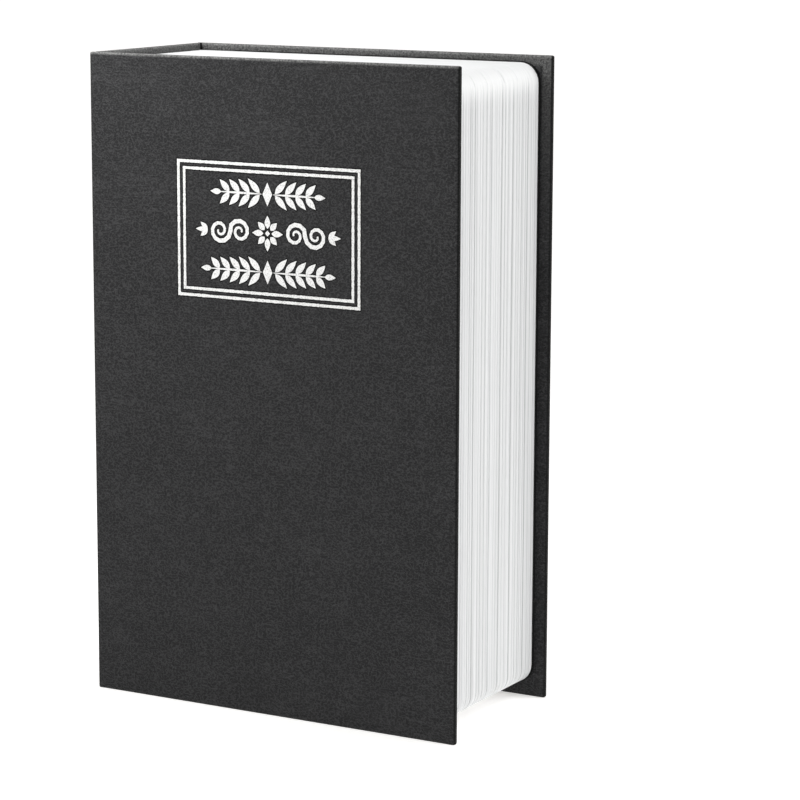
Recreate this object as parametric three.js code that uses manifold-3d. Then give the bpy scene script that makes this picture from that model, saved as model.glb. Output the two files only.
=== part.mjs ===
// A book diversion safe: a steel strongbox with a combination lid, hidden in the pages of a bound book.
// Millimetres, +Z up along the spine, +X from the spine to the fore-edge, -Y out of the front cover.
// The origin is the middle of the footprint of the book standing on its tail.
import * as THREE from "three";
import { mergeVertices } from "three/addons/utils/BufferGeometryUtils.js";
import Module from "manifold-3d";

const wasm = await Module();
wasm.setup();

// How far a cut runs past the face that it opens, and how far joined forms run into each other
const OVERRUN = 1;
const SINK = 0.2;

// Sides of the round pieces, from small pins to the knob
const PIN_SIDES = 12;
const BAR_SIDES = 16;
const DISC_SIDES = 28;
const KNOB_SIDES = 40;
const CORNER_STEPS = 7;
const FACE_CORNER_STEPS = 3;

// The closed book
const BOOK_HEIGHT = 180;
const BOOK_WIDTH = 115;
const BOOK_THICKNESS = 55;

// The case binding: boards, covering paper, end papers
const BOARD = 1.2;
const PAPER = 0.2;
const LINER = 0.15;
const GLUE_LINE = 0.05;
const TURN_IN = 14;
const LINER_MARGIN = 3;
const SPINE_INSET = 0.2;
const JOINT_GAP = 0.3;

// The block of imitation pages
const HEAD_OVERHANG = 2;
const TAIL_OVERHANG = 4;
const FORE_OVERHANG = 3.5;
const COVER_REST = 0.4;
const BLOCK_TO_SPINE = 0.1;
const PAGE_CORNER = 5.5;
const RIM_WIDTH = 7.9;
const RIM_PLATE = 2;
const PAGE_WALL = 1.8;
const SPINE_WALL = 1.2;
const LIP_WALL = 1.5;
const BACK_FLANGE = 1.2;
const BACK_RELIEF = 0.8;
const BACK_RELIEF_WIDTH = 2.5;
const FLANGE_UNDER_TRAY = 9;
const EDGE_ROUND = 0.6;
const GATHERING_PITCH = 7.6;
const GATHERING_WANDER = 0.9;
const GATHERING_GROOVE = 0.4;
const GATHERING_HALF = 0.5;
const GATHERING_PHASE = 2.4;
const STIFFENER = 1.4;
const STIFFENER_DEPTH = 4;
const STIFFENER_PITCH = 29;

// The steel lid and strongbox
const SHEET = 1;
const LID_RECESS = 10;
const LID_GAP = 0.5;
const LID_SKIRT = 6;
const LID_ROLL_WIDTH = 3.6;
const LID_ROLL_DEPTH = 2.4;
const ROLL_STEPS = 5;
const TRAY_GAP = 0.3;
const PLATFORM_RISE = 1.8;
const PLATFORM_SLOPE = 6.3;
const PLATFORM_MARGIN = 0.6;

// The lid's hinge beside the spine
const HINGE_FROM_SPINE = 4.2;
const HINGE_BELOW_LID = 1;
const KNUCKLE_RADIUS = 1.7;
const KNUCKLE_BORE = 1.1;
const KNUCKLE_COUNT = 7;
const KNUCKLE_GAP = 0.4;
const HINGE_LENGTH = 140;
const PIN_RADIUS = 0.85;
const PIN_HEAD_RADIUS = 1.5;
const PIN_HEAD = 0.8;
const HINGE_CLEARANCE = 0.3;

// The rivets under the tray
const RIVET_RADIUS = 1.2;
const RIVET_HEAD_RADIUS = 2.2;
const RIVET_HEAD = 0.7;
const RIVET_CROWN_RADIUS = 1.5;
const RIVET_CROWN = 0.5;
const RIVET_TAIL_RADIUS = 1.8;
const RIVET_TAIL = 0.5;
const RIVET_CLEARANCE = 0.1;
const RIVET_FROM_WALL = 4.2;

// The lock's housing and face
const LOCK_TO_RIM = 27.8;
const FACE_WIDTH = 24;
const FACE_CORNER = 1.4;
const BEZEL_WIDTH = 2.3;
const BEZEL_HEIGHT = 1.1;
const BEZEL_CORNER = 2.6;
const BEZEL_POCKET = 0.7;
const TRIM_WIDTH = 0.9;
const TRIM_PROUD = 0.2;
const PANEL_THICKNESS = 0.4;
const FACE_GAP = 0.1;
const CASE_INSIDE_FACE = 1.5;
const CASE_WALL = 1;
const CASE_DEPTH = 9.3;
const CASE_TO_LID = 0.3;
const CLIP_TO_SLOPE = 0.3;
const CLIP_THICKNESS = 1.1;
const COVER_PLATE = 1;

// The number wheels
const WHEEL_COUNT = 3;
const WHEEL_PITCH = 7.6;
const WHEEL_RADIUS = 5.2;
const WHEEL_WIDTH = 4.7;
const WHEEL_DIGITS = 10;
const WHEEL_NOTCH = 0.25;
const WHEEL_NOTCH_HALF_ANGLE = 0.07;
const WHEEL_PROUD = 1;
const WHEEL_OFFSET = 1.5;
const FIRST_WHEEL_BELOW_KNOB = 20.6;
const LAST_WHEEL_FROM_FACE_END = 16.7;
const SHAFT_RADIUS = 1.2;
const SHAFT_CLEARANCE = 0.3;
const BEARING_GAP = 0.4;
const BEARING_WALL = 1.2;
const BEARING_TO_COVER = 1;
const WINDOW_CLEARANCE = 0.25;
const INDEX_LEDGE = 2.4;

// The gate rings and the fence that reads them
const GATE_RADIUS = 2.9;
const GATE_WIDTH = 1.6;
const GATE_GAP = 0.25;
const GATE_NOTCH_WIDTH = 2.4;
const GATE_NOTCH_DEPTH = 0.8;
const FENCE_WIDTH = 1.8;
const FENCE_THICKNESS = 1.8;
const FENCE_TOOTH = 1.1;
const FENCE_CLEARANCE = 0.3;
const FENCE_TRAVEL = 1.2;
const FENCE_END = 4.4;
const GUIDE_LENGTH = 3;

// The knob, its spindle and the latch
const KNOB_RADIUS = 9.5;
const KNOB_TOP_RADIUS = 7.7;
const KNOB_HEIGHT = 5.9;
const KNOB_FROM_FACE_END = 11.5;
const KNOB_RUNNING_GAP = 0.3;
const KNOB_SOCKET = 3;
const KNOB_EDGE = 0.5;
const KNOB_SKIRT = 1.1;
const SPINDLE_RADIUS = 3;
const SPINDLE_CLEARANCE = 0.3;
const ECCENTRIC_RADIUS = 4.4;
const ECCENTRIC_GAP = 0.4;
const ECCENTRIC_THICKNESS = 1.4;
const SQUARE_SIZE = 4.2;
const THREAD_RADIUS = 1.5;
const THREAD_END = 0.5;
const LATCH_GAP = 0.4;
const LATCH_THICKNESS = 1.2;
const LATCH_WIDTH = 9;
const LATCH_TO_WALL = 0.8;
const WASHER_THICKNESS = 0.6;
const WASHER_RADIUS = 3.8;
const NUT_THICKNESS = 1.8;
const NUT_RADIUS = 3.2;
const NUT_SIDES = 6;
const STACK_GAP = 0.08;
const STRIKE_LENGTH = 26;
const STRIKE_LIP = 4;
const STRIKE_THICKNESS = 1.2;
const STRIKE_GAP = 0.5;
const STRIKE_BELOW_EDGE = 1;

// Small parts of the lock
const SCREW_RADIUS = 0.8;
const SCREW_HEAD_RADIUS = 1.5;
const SCREW_HEAD = 0.7;
const SCREW_LENGTH = 8.4;
const SCREW_FROM_CORNER = 2.3;
const POST_RADIUS = 1.9;
const SPRING_SHEET = 0.25;
const SPRING_HEIGHT = 3;
const SPRING_FOOT = 1.2;
const SPRING_TIP = 0.4;
const LEVER_TRAVEL = 2;
const LEVER_WIDTH = 5;
const LEVER_LENGTH = 5.5;
const LEVER_PLATE = 0.9;
const LEVER_STEM = 2;
const LEVER_OFFSET = 3;
const LEVER_FROM_END = 5.5;
const LEVER_GAP = 0.2;
const LEVER_CLEARANCE = 0.3;
const LEVER_STEM_REACH = 2;

// Places that follow from the sizes
const left = -BOOK_WIDTH / 2;
const right = BOOK_WIDTH / 2;
const front = -BOOK_THICKNESS / 2;
const back = BOOK_THICKNESS / 2;
const boardSkin = PAPER + GLUE_LINE;
const casedBoard = boardSkin + BOARD + boardSkin;
const coverThickness = casedBoard + GLUE_LINE + LINER;
const frontInner = front + coverThickness;
const backInner = back - coverThickness;
const spineOuter = left + SPINE_INSET;
const spineInner = spineOuter + casedBoard;
const spineFront = frontInner + JOINT_GAP;
const spineBack = backInner - JOINT_GAP;

const pageLeft = spineInner + BLOCK_TO_SPINE;
const pageRight = right - FORE_OVERHANG;
const pageBottom = TAIL_OVERHANG;
const pageTop = BOOK_HEIGHT - HEAD_OVERHANG;
const pageFront = frontInner + COVER_REST;
const pageBack = backInner - GLUE_LINE;
const openRight = pageRight - RIM_WIDTH;
const openBottom = pageBottom + RIM_WIDTH;
const openTop = pageTop - RIM_WIDTH;

const lidFront = pageFront + LID_RECESS;
const lidBack = lidFront + SHEET;
const lidRight = openRight - LID_GAP;
const lidBottom = openBottom + LID_GAP;
const lidTop = openTop - LID_GAP;
const trayWall = SHEET + TRAY_GAP;
const trayRight = lidRight - trayWall;
const trayBottom = lidBottom + trayWall;
const trayTop = lidTop - trayWall;
const trayFront = lidFront + LID_ROLL_DEPTH + TRAY_GAP;
const flangeFront = pageBack - BACK_FLANGE;
const trayBack = flangeFront - FACE_GAP;

const hingeX = pageLeft + HINGE_FROM_SPINE;
const hingeY = lidBack + HINGE_BELOW_LID;
const trayLeft = hingeX + KNUCKLE_RADIUS + FACE_GAP;
const lidLeft = hingeX + KNUCKLE_RADIUS + HINGE_CLEARANCE;

const lockX = openRight - LOCK_TO_RIM;
const lockZ = (openBottom + openTop) / 2;
const platformFront = lidFront - PLATFORM_RISE;
const bezelBack = platformFront - FACE_GAP / 2;
const bezelFront = bezelBack - BEZEL_HEIGHT;
const pocketFloor = bezelFront + BEZEL_POCKET;
const panelBack = pocketFloor - GLUE_LINE;
const panelFront = panelBack - PANEL_THICKNESS;
const caseBack = bezelBack + CASE_DEPTH;
const coverPlateFront = caseBack + FACE_GAP;
const coverPlateBack = coverPlateFront + COVER_PLATE;
const wheelSpan = (WHEEL_COUNT - 1) * WHEEL_PITCH;
const faceLength = KNOB_FROM_FACE_END + FIRST_WHEEL_BELOW_KNOB + wheelSpan + LAST_WHEEL_FROM_FACE_END;
const caseHalfX = FACE_WIDTH / 2 - CASE_INSIDE_FACE;
const caseHalfZ = faceLength / 2 - CASE_INSIDE_FACE;
const caseRight = lockX + caseHalfX;
const caseLeft = lockX - caseHalfX;
const caseBottom = lockZ - caseHalfZ;
const caseTop = lockZ + caseHalfZ;

const knobZ = lockZ + faceLength / 2 - KNOB_FROM_FACE_END;
const knobBack = panelFront - KNOB_RUNNING_GAP;
const knobFront = knobBack - KNOB_HEIGHT;
const wheelX = lockX - WHEEL_OFFSET;
const wheelY = panelFront - WHEEL_PROUD + WHEEL_RADIUS;
const firstWheelZ = knobZ - FIRST_WHEEL_BELOW_KNOB;
const wheelZ = Array.from({ length: WHEEL_COUNT }, (_, i) => firstWheelZ - i * WHEEL_PITCH);
const windowReach = Math.sqrt(WHEEL_RADIUS ** 2 - (wheelY - bezelBack) ** 2) + WINDOW_CLEARANCE;
const windowHalf = WHEEL_WIDTH / 2 + WINDOW_CLEARANCE;
const gateTop = WHEEL_WIDTH / 2 + GATE_GAP;
const shaftTop = wheelZ[0] + WHEEL_WIDTH / 2;
const shaftBottom = wheelZ[WHEEL_COUNT - 1] - gateTop - GATE_WIDTH;
const fenceLeft = lockX + ECCENTRIC_RADIUS + ECCENTRIC_GAP;
const fenceRight = fenceLeft + FENCE_WIDTH;
const fenceFront = wheelY - FENCE_THICKNESS / 2;
const fenceBack = wheelY + FENCE_THICKNESS / 2;
const guidePlaces = [firstWheelZ + WHEEL_PITCH, firstWheelZ - WHEEL_COUNT * WHEEL_PITCH]
  .map((z) => z - GUIDE_LENGTH / 2);
const latchFront = coverPlateBack + LATCH_GAP;
const latchBack = latchFront + LATCH_THICKNESS;
const washerBack = latchBack + STACK_GAP + WASHER_THICKNESS;
const nutBack = washerBack + STACK_GAP + NUT_THICKNESS;
const spindleBack = nutBack + THREAD_END;
const latchReach = trayRight - SHEET - LATCH_TO_WALL - lockX;

// A solid for joining and cutting, from a closed three.js geometry
function solid(geometry) {
  const bare = geometry.clone();
  bare.deleteAttribute("normal");
  bare.deleteAttribute("uv");
  const merged = mergeVertices(bare, 1e-4);
  const vertProperties = new Float32Array(merged.attributes.position.array);
  const triVerts = new Uint32Array(merged.index.array);
  return new wasm.Manifold(new wasm.Mesh({ numProp: 3, vertProperties, triVerts }));
}

function surface(made) {
  const mesh = made.getMesh();
  const points = new Float32Array(mesh.vertProperties);
  const geometry = new THREE.BufferGeometry();
  geometry.setAttribute("position", new THREE.BufferAttribute(points, 3));
  geometry.setIndex(new THREE.BufferAttribute(new Uint32Array(mesh.triVerts), 1));
  geometry.computeVertexNormals();
  return geometry;
}

function join(first, ...others) {
  return others.reduce((made, other) => made.add(other), first);
}

function cut(first, ...tools) {
  return tools.reduce((made, tool) => made.subtract(tool), first);
}

// A box between two corners
function block(x0, x1, y0, y1, z0, z1) {
  const box = new THREE.BoxGeometry(x1 - x0, y1 - y0, z1 - z0);
  box.translate((x0 + x1) / 2, (y0 + y1) / 2, (z0 + z1) / 2);
  return solid(box);
}

// A turned piece on an axis along Y: its profile is a list of [radius, y] from front to back
function turnedY(profile, x, z, sides) {
  const points = profile.map(([radius, y]) => new THREE.Vector2(radius, y));
  const lathe = new THREE.LatheGeometry(points, sides);
  lathe.translate(x, 0, z);
  return solid(lathe);
}

function discY(radius, y0, y1, x, z, sides) {
  return turnedY([[0, y0], [radius, y0], [radius, y1], [0, y1]], x, z, sides);
}

// A round bar on an axis along Z
function barZ(radius, z0, z1, x, y, sides) {
  const bar = new THREE.CylinderGeometry(radius, radius, z1 - z0, sides);
  bar.rotateX(Math.PI / 2);
  bar.translate(x, y, (z0 + z1) / 2);
  return solid(bar);
}

// A flat plate parallel to the covers, from an outline in X and Z
function plate(shape, y0, y1, curveSteps) {
  const settings = { depth: y1 - y0, bevelEnabled: false, curveSegments: curveSteps };
  const slab = new THREE.ExtrudeGeometry(shape, settings);
  slab.rotateX(Math.PI / 2);
  slab.translate(0, y1, 0);
  return solid(slab);
}

// A rounded rectangle in X and Z
function roundedRectangle(x0, x1, z0, z1, radius) {
  const shape = new THREE.Shape();
  shape.moveTo(x0 + radius, z0);
  shape.lineTo(x1 - radius, z0);
  shape.absarc(x1 - radius, z0 + radius, radius, -Math.PI / 2, 0);
  shape.lineTo(x1, z1 - radius);
  shape.absarc(x1 - radius, z1 - radius, radius, 0, Math.PI / 2);
  shape.lineTo(x0 + radius, z1);
  shape.absarc(x0 + radius, z1 - radius, radius, Math.PI / 2, Math.PI);
  shape.lineTo(x0, z0 + radius);
  shape.absarc(x0 + radius, z0 + radius, radius, Math.PI, Math.PI * 1.5);
  return shape;
}

// A solid through a row of rings of equal point counts, closed by a fan at each end
function loft(rings) {
  const count = rings[0].length;
  const positions = rings.flat(2);
  const index = [];
  for (let r = 0; r < rings.length - 1; r++) {
    for (let p = 0; p < count; p++) {
      const a = r * count + p;
      const b = r * count + ((p + 1) % count);
      index.push(a, b, a + count, b, b + count, a + count);
    }
  }
  const last = (rings.length - 1) * count;
  for (let p = 1; p < count - 1; p++) {
    index.push(0, p + 1, p);
    index.push(last, last + p, last + p + 1);
  }
  const geometry = new THREE.BufferGeometry();
  geometry.setAttribute("position", new THREE.Float32BufferAttribute(positions, 3));
  geometry.setIndex(index);
  const made = solid(geometry);
  if (made.volume() > 0) return made;
  geometry.setIndex(index.reverse());
  return solid(geometry);
}

// A four-cornered ring in a plane parallel to the covers
function rectangleRing(x0, x1, z0, z1, y) {
  return [[x0, y, z0], [x1, y, z0], [x1, y, z1], [x0, y, z1]];
}

const finishes = {
  paper: { color: 0x3a3a3b, roughness: 0.75, metalness: 0 },
  board: { color: 0x8d8779, roughness: 0.9, metalness: 0 },
  liner: { color: 0x2c2c2e, roughness: 0.85, metalness: 0 },
  pages: { color: 0xf2f2f0, roughness: 0.5, metalness: 0 },
  steel: { color: 0x56584f, roughness: 0.55, metalness: 0.3 },
  zinc: { color: 0xb8b9b6, roughness: 0.35, metalness: 1 },
  black: { color: 0x1b1b1c, roughness: 0.5, metalness: 0 },
  gold: { color: 0xc08a3a, roughness: 0.3, metalness: 1 },
  brass: { color: 0xb9974f, roughness: 0.35, metalness: 1 },
};

const book = new THREE.Group();

function addMesh(name, made, finish) {
  const mesh = new THREE.Mesh(surface(made), new THREE.MeshStandardMaterial(finishes[finish]));
  mesh.name = name;
  book.add(mesh);
}

// One cover board, its covering paper with the turn-ins, and its end paper. outer is the face that
// shows, and inward is +1 where the board's inside lies towards +Y.
function buildCover(side, outer, inward) {
  const at = (depth) => outer + inward * depth;
  const slab = (x0, x1, d0, d1, z0, z1) => {
    const y = [at(d0), at(d1)].sort((a, b) => a - b);
    return block(x0, x1, y[0], y[1], z0, z1);
  };
  const paper = cut(
    slab(left, right, 0, casedBoard, 0, BOOK_HEIGHT),
    slab(left + PAPER, right - PAPER, PAPER, casedBoard - PAPER, PAPER, BOOK_HEIGHT - PAPER),
    slab(left + PAPER, right - TURN_IN, BOARD, casedBoard + OVERRUN, TURN_IN, BOOK_HEIGHT - TURN_IN),
  );
  addMesh(`cover_paper_${side}`, paper, "paper");
  const inset = boardSkin;
  const board = slab(left + inset, right - inset, inset, inset + BOARD, inset, BOOK_HEIGHT - inset);
  addMesh(`${side}_board`, board, "board");
  const linerFrom = casedBoard + GLUE_LINE;
  const edge = LINER_MARGIN;
  const liner = slab(left + edge, right - edge, linerFrom, linerFrom + LINER, edge, BOOK_HEIGHT - edge);
  addMesh(`${side}_liner`, liner, "liner");
}

function buildSpine() {
  const y0 = spineFront - OVERRUN;
  const y1 = spineBack + OVERRUN;
  const paper = cut(
    block(spineOuter, spineInner, spineFront, spineBack, 0, BOOK_HEIGHT),
    block(spineOuter + PAPER, spineInner - PAPER, y0, y1, PAPER, BOOK_HEIGHT - PAPER),
    block(spineOuter + BOARD, spineInner + OVERRUN, y0, y1, TURN_IN, BOOK_HEIGHT - TURN_IN),
  );
  addMesh("cover_paper_spine", paper, "paper");
  const boardLeft = spineOuter + boardSkin;
  const board = block(
    boardLeft, boardLeft + BOARD, spineFront, spineBack, boardSkin, BOOK_HEIGHT - boardSkin,
  );
  addMesh("spine_board", board, "board");
}

// The outline of the page block at one depth: flat at the spine, rounded at the two fore-edge corners
function pageRing(y, inset) {
  const x1 = pageRight - inset;
  const z0 = pageBottom + inset;
  const z1 = pageTop - inset;
  const ring = [[pageLeft, y, z0]];
  for (const [cornerZ, from] of [[z0 + PAGE_CORNER, -Math.PI / 2], [z1 - PAGE_CORNER, 0]]) {
    for (let step = 0; step <= CORNER_STEPS; step++) {
      const angle = from + (step / CORNER_STEPS) * (Math.PI / 2);
      ring.push([
        x1 - PAGE_CORNER + PAGE_CORNER * Math.cos(angle),
        y,
        cornerZ + PAGE_CORNER * Math.sin(angle),
      ]);
    }
  }
  ring.push([pageLeft, y, z1]);
  return ring;
}

// Grooves between the gatherings of leaves lie at a slightly uneven pitch
function pageBlock() {
  const rings = [pageRing(pageFront, EDGE_ROUND), pageRing(pageFront + EDGE_ROUND, 0)];
  const span = pageBack - pageFront;
  const grooves = Math.floor(span / GATHERING_PITCH);
  for (let k = 0; k < grooves; k++) {
    const y = pageFront + (k + 0.5) * (span / grooves) + GATHERING_WANDER * Math.sin(k * GATHERING_PHASE);
    rings.push(pageRing(y - GATHERING_HALF, 0));
    rings.push(pageRing(y, GATHERING_GROOVE));
    rings.push(pageRing(y + GATHERING_HALF, 0));
  }
  rings.push(pageRing(pageBack, 0));
  return loft(rings);
}

function rivetPlaces() {
  const lengthwise = [trayLeft + (trayRight - trayLeft) / 4, trayLeft + (3 * (trayRight - trayLeft)) / 4];
  const upright = [trayBottom + (trayTop - trayBottom) / 3, trayBottom + (2 * (trayTop - trayBottom)) / 3];
  return [
    ...lengthwise.map((x) => [x, trayBottom + RIVET_FROM_WALL]),
    ...lengthwise.map((x) => [x, trayTop - RIVET_FROM_WALL]),
    ...upright.map((z) => [trayRight - RIVET_FROM_WALL, z]),
  ];
}

// The moulding stands off the back cover round its edge, so that no glue is pressed out there
function backRelief() {
  const reliefFront = pageBack - BACK_RELIEF;
  const behind = pageBack + OVERRUN;
  return cut(
    block(
      pageLeft - OVERRUN, pageRight + OVERRUN, reliefFront, behind, pageBottom - OVERRUN, pageTop + OVERRUN,
    ),
    loft([pageRing(reliefFront - OVERRUN, BACK_RELIEF_WIDTH), pageRing(behind + OVERRUN, BACK_RELIEF_WIDTH)]),
  );
}

function buildPageFrame() {
  const lipRight = openRight + LIP_WALL;
  const lipBottom = openBottom - LIP_WALL;
  const lipTop = openTop + LIP_WALL;
  const channelFront = pageFront + RIM_PLATE;
  const openLeft = pageLeft + SPINE_WALL;
  const behind = pageBack + OVERRUN;
  const channel = cut(
    loft([pageRing(channelFront, PAGE_WALL), pageRing(flangeFront, PAGE_WALL)]),
    block(pageLeft - OVERRUN, openLeft, pageFront, pageBack, pageBottom, pageTop),
    block(openLeft - OVERRUN, lipRight, channelFront - OVERRUN, lidBack, lipBottom, lipTop),
  );
  const opening = block(openLeft, openRight, pageFront - OVERRUN, flangeFront, openBottom, openTop);
  const bed = block(
    trayLeft + FLANGE_UNDER_TRAY, openRight - FLANGE_UNDER_TRAY, flangeFront - OVERRUN, behind,
    openBottom + FLANGE_UNDER_TRAY, openTop - FLANGE_UNDER_TRAY,
  );
  const ribs = [];
  const ribFront = channelFront - RIM_PLATE / 2;
  const ribBack = flangeFront + BACK_FLANGE / 2;
  const wall = PAGE_WALL / 2;
  const upright = Math.floor((pageTop - pageBottom) / STIFFENER_PITCH);
  for (let k = 1; k < upright; k++) {
    const z = pageBottom + (k * (pageTop - pageBottom)) / upright - STIFFENER / 2;
    const x = pageRight - wall;
    ribs.push(block(x - wall - STIFFENER_DEPTH, x, ribFront, ribBack, z, z + STIFFENER));
  }
  const lengthwise = Math.floor((pageRight - pageLeft) / STIFFENER_PITCH);
  for (let k = 1; k < lengthwise; k++) {
    const x = pageLeft + (k * (pageRight - pageLeft)) / lengthwise - STIFFENER / 2;
    for (const [z, side] of [[pageBottom + wall, 1], [pageTop - wall, -1]]) {
      const z1 = z + side * (wall + STIFFENER_DEPTH);
      ribs.push(block(x, x + STIFFENER, ribFront, ribBack, Math.min(z, z1), Math.max(z, z1)));
    }
  }
  const tailFront = pageBack - RIVET_TAIL - RIVET_CLEARANCE;
  const holes = rivetPlaces().flatMap(([x, z]) => [
    discY(RIVET_RADIUS + RIVET_CLEARANCE, flangeFront - OVERRUN, behind, x, z, BAR_SIDES),
    discY(RIVET_TAIL_RADIUS + RIVET_CLEARANCE, tailFront, behind, x, z, BAR_SIDES),
  ]);
  const shell = cut(pageBlock(), channel, opening, bed, backRelief());
  addMesh("page_frame", cut(join(shell, ...ribs), ...holes), "pages");
}

// Knuckle spans along the hinge, even ones on the tray and odd ones on the lid
function knuckleSpans(parity) {
  const pitch = HINGE_LENGTH / KNUCKLE_COUNT;
  const spans = [];
  for (let k = parity; k < KNUCKLE_COUNT; k += 2) {
    const z = lockZ - HINGE_LENGTH / 2 + k * pitch;
    spans.push([z + KNUCKLE_GAP / 2, z + pitch - KNUCKLE_GAP / 2]);
  }
  return spans;
}

function hingeBore() {
  const past = HINGE_LENGTH / 2 + OVERRUN;
  return barZ(KNUCKLE_BORE, lockZ - past, lockZ + past, hingeX, hingeY, BAR_SIDES);
}

function buildTray() {
  const shell = cut(
    block(trayLeft, trayRight, trayFront, trayBack, trayBottom, trayTop),
    block(
      trayLeft + SHEET, trayRight - SHEET, trayFront - OVERRUN, trayBack - SHEET,
      trayBottom + SHEET, trayTop - SHEET,
    ),
  );
  const knuckles = knuckleSpans(0).flatMap(([z0, z1]) => [
    barZ(KNUCKLE_RADIUS, z0, z1, hingeX, hingeY, BAR_SIDES),
    block(hingeX, trayLeft + SHEET / 2, hingeY, hingeY + KNUCKLE_RADIUS, z0, z1),
  ]);
  const holes = rivetPlaces().map(([x, z]) =>
    discY(RIVET_RADIUS + RIVET_CLEARANCE, trayBack - SHEET - OVERRUN, trayBack + OVERRUN, x, z, BAR_SIDES),
  );
  addMesh("tray", cut(join(shell, ...knuckles), hingeBore(), ...holes), "steel");
}

function buildRivets() {
  const floor = trayBack - SHEET;
  const end = pageBack - RIVET_CLEARANCE;
  rivetPlaces().forEach(([x, z], i) => {
    const rivet = turnedY(
      [
        [0, floor - RIVET_CLEARANCE - RIVET_HEAD],
        [RIVET_CROWN_RADIUS, floor - RIVET_CLEARANCE - RIVET_CROWN],
        [RIVET_HEAD_RADIUS, floor - RIVET_CLEARANCE],
        [RIVET_RADIUS, floor - RIVET_CLEARANCE],
        [RIVET_RADIUS, end - RIVET_TAIL + RIVET_CLEARANCE],
        [RIVET_TAIL_RADIUS, end - RIVET_TAIL + RIVET_CLEARANCE],
        [RIVET_TAIL_RADIUS, end],
        [0, end],
      ],
      x, z, BAR_SIDES,
    );
    addMesh(`tray_rivet_${i + 1}`, rivet, "zinc");
  });
}

// The angle inside the fore-edge wall: the latch turns under its lip
function buildStrike() {
  const wall = trayRight - SHEET - FACE_GAP;
  const lipBack = latchFront - STRIKE_GAP;
  const lipFront = lipBack - STRIKE_THICKNESS;
  const z0 = knobZ - STRIKE_LENGTH / 2;
  const z1 = knobZ + STRIKE_LENGTH / 2;
  const bracket = join(
    block(wall - STRIKE_THICKNESS, wall, trayFront + STRIKE_BELOW_EDGE, lipBack, z0, z1),
    block(wall - STRIKE_LIP, wall - STRIKE_THICKNESS / 2, lipFront, lipBack, z0, z1),
  );
  addMesh("strike_bracket", bracket, "zinc");
}

function buildHingePin() {
  const end = HINGE_LENGTH / 2;
  const head = lockZ + end + KNUCKLE_GAP / 2;
  const pin = join(
    barZ(PIN_RADIUS, lockZ - end - PIN_HEAD, head + PIN_HEAD / 2, hingeX, hingeY, BAR_SIDES),
    barZ(PIN_HEAD_RADIUS, head, head + PIN_HEAD, hingeX, hingeY, BAR_SIDES),
  );
  addMesh("hinge_pin", pin, "zinc");
}

// Half sizes of the rectangle on which the raised platform is flat
const platformHalfX = FACE_WIDTH / 2 + BEZEL_WIDTH + PLATFORM_MARGIN;
const platformHalfZ = faceLength / 2 + BEZEL_WIDTH + PLATFORM_MARGIN;

function platformForm(shift) {
  const ring = (grow, y) => rectangleRing(
    lockX - platformHalfX - grow, lockX + platformHalfX + grow,
    lockZ - platformHalfZ - grow, lockZ + platformHalfZ + grow, y + shift,
  );
  const sunk = (SINK * PLATFORM_SLOPE) / PLATFORM_RISE;
  return loft([
    ring(0, platformFront),
    ring(PLATFORM_SLOPE, lidFront),
    ring(PLATFORM_SLOPE + sunk, lidFront + SINK),
  ]);
}

// The lid's form with its rolled edge on the three sides away from the hinge, for its outside or, set
// in by the sheet, for its inside
function lidForm(x0, inset, depth) {
  const ring = (edge, y) => rectangleRing(x0, lidRight - edge, lidBottom + edge, lidTop - edge, y);
  const rings = [];
  for (let step = 0; step <= ROLL_STEPS; step++) {
    const angle = (step / ROLL_STEPS) * (Math.PI / 2);
    rings.push(ring(
      LID_ROLL_WIDTH - (LID_ROLL_WIDTH - inset) * Math.sin(angle),
      lidFront + LID_ROLL_DEPTH - (LID_ROLL_DEPTH - inset) * Math.cos(angle),
    ));
  }
  rings.push(ring(inset, lidFront + depth));
  return loft(rings);
}

function buildLid() {
  const outer = lidForm(lidLeft, 0, LID_SKIRT);
  const inside = lidForm(lidLeft - OVERRUN, SHEET, LID_SKIRT + OVERRUN);
  const knuckles = knuckleSpans(1).flatMap(([z0, z1]) => [
    barZ(KNUCKLE_RADIUS, z0, z1, hingeX, hingeY, BAR_SIDES),
    block(hingeX, lidLeft + SHEET, lidFront, lidBack, z0, z1),
  ]);
  const hole = block(
    caseLeft - CASE_TO_LID, caseRight + CASE_TO_LID, platformFront - OVERRUN, lidBack + OVERRUN,
    caseBottom - CASE_TO_LID, caseTop + CASE_TO_LID,
  );
  const lid = cut(join(outer, platformForm(0)), inside, platformForm(SHEET), hole);
  addMesh("lid_panel", cut(join(lid, ...knuckles), hingeBore()), "steel");
}

// A plate round the lock's middle with the face's corners
function facePlate(halfX, halfZ, corner, y0, y1) {
  const outline = roundedRectangle(lockX - halfX, lockX + halfX, lockZ - halfZ, lockZ + halfZ, corner);
  return plate(outline, y0, y1, FACE_CORNER_STEPS);
}

// The openings over the wheels. In the face plate each is longer by the ledge that bears the index mark.
function windows(ledge, y0, y1) {
  return wheelZ.map((z) => block(
    wheelX - windowReach, wheelX + windowReach + ledge, y0, y1, z - windowHalf, z + windowHalf,
  ));
}

function screwPlaces() {
  const x = caseHalfX - SCREW_FROM_CORNER;
  const z = caseHalfZ - SCREW_FROM_CORNER;
  return [[-x, -z], [x, -z], [-x, z], [x, z]].map(([dx, dz]) => [lockX + dx, lockZ + dz]);
}

// The hole that the spindle turns in
function spindleHole(y0, y1) {
  return discY(SPINDLE_RADIUS + SPINDLE_CLEARANCE, y0 - OVERRUN, y1 + OVERRUN, lockX, knobZ, DISC_SIDES);
}

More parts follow.
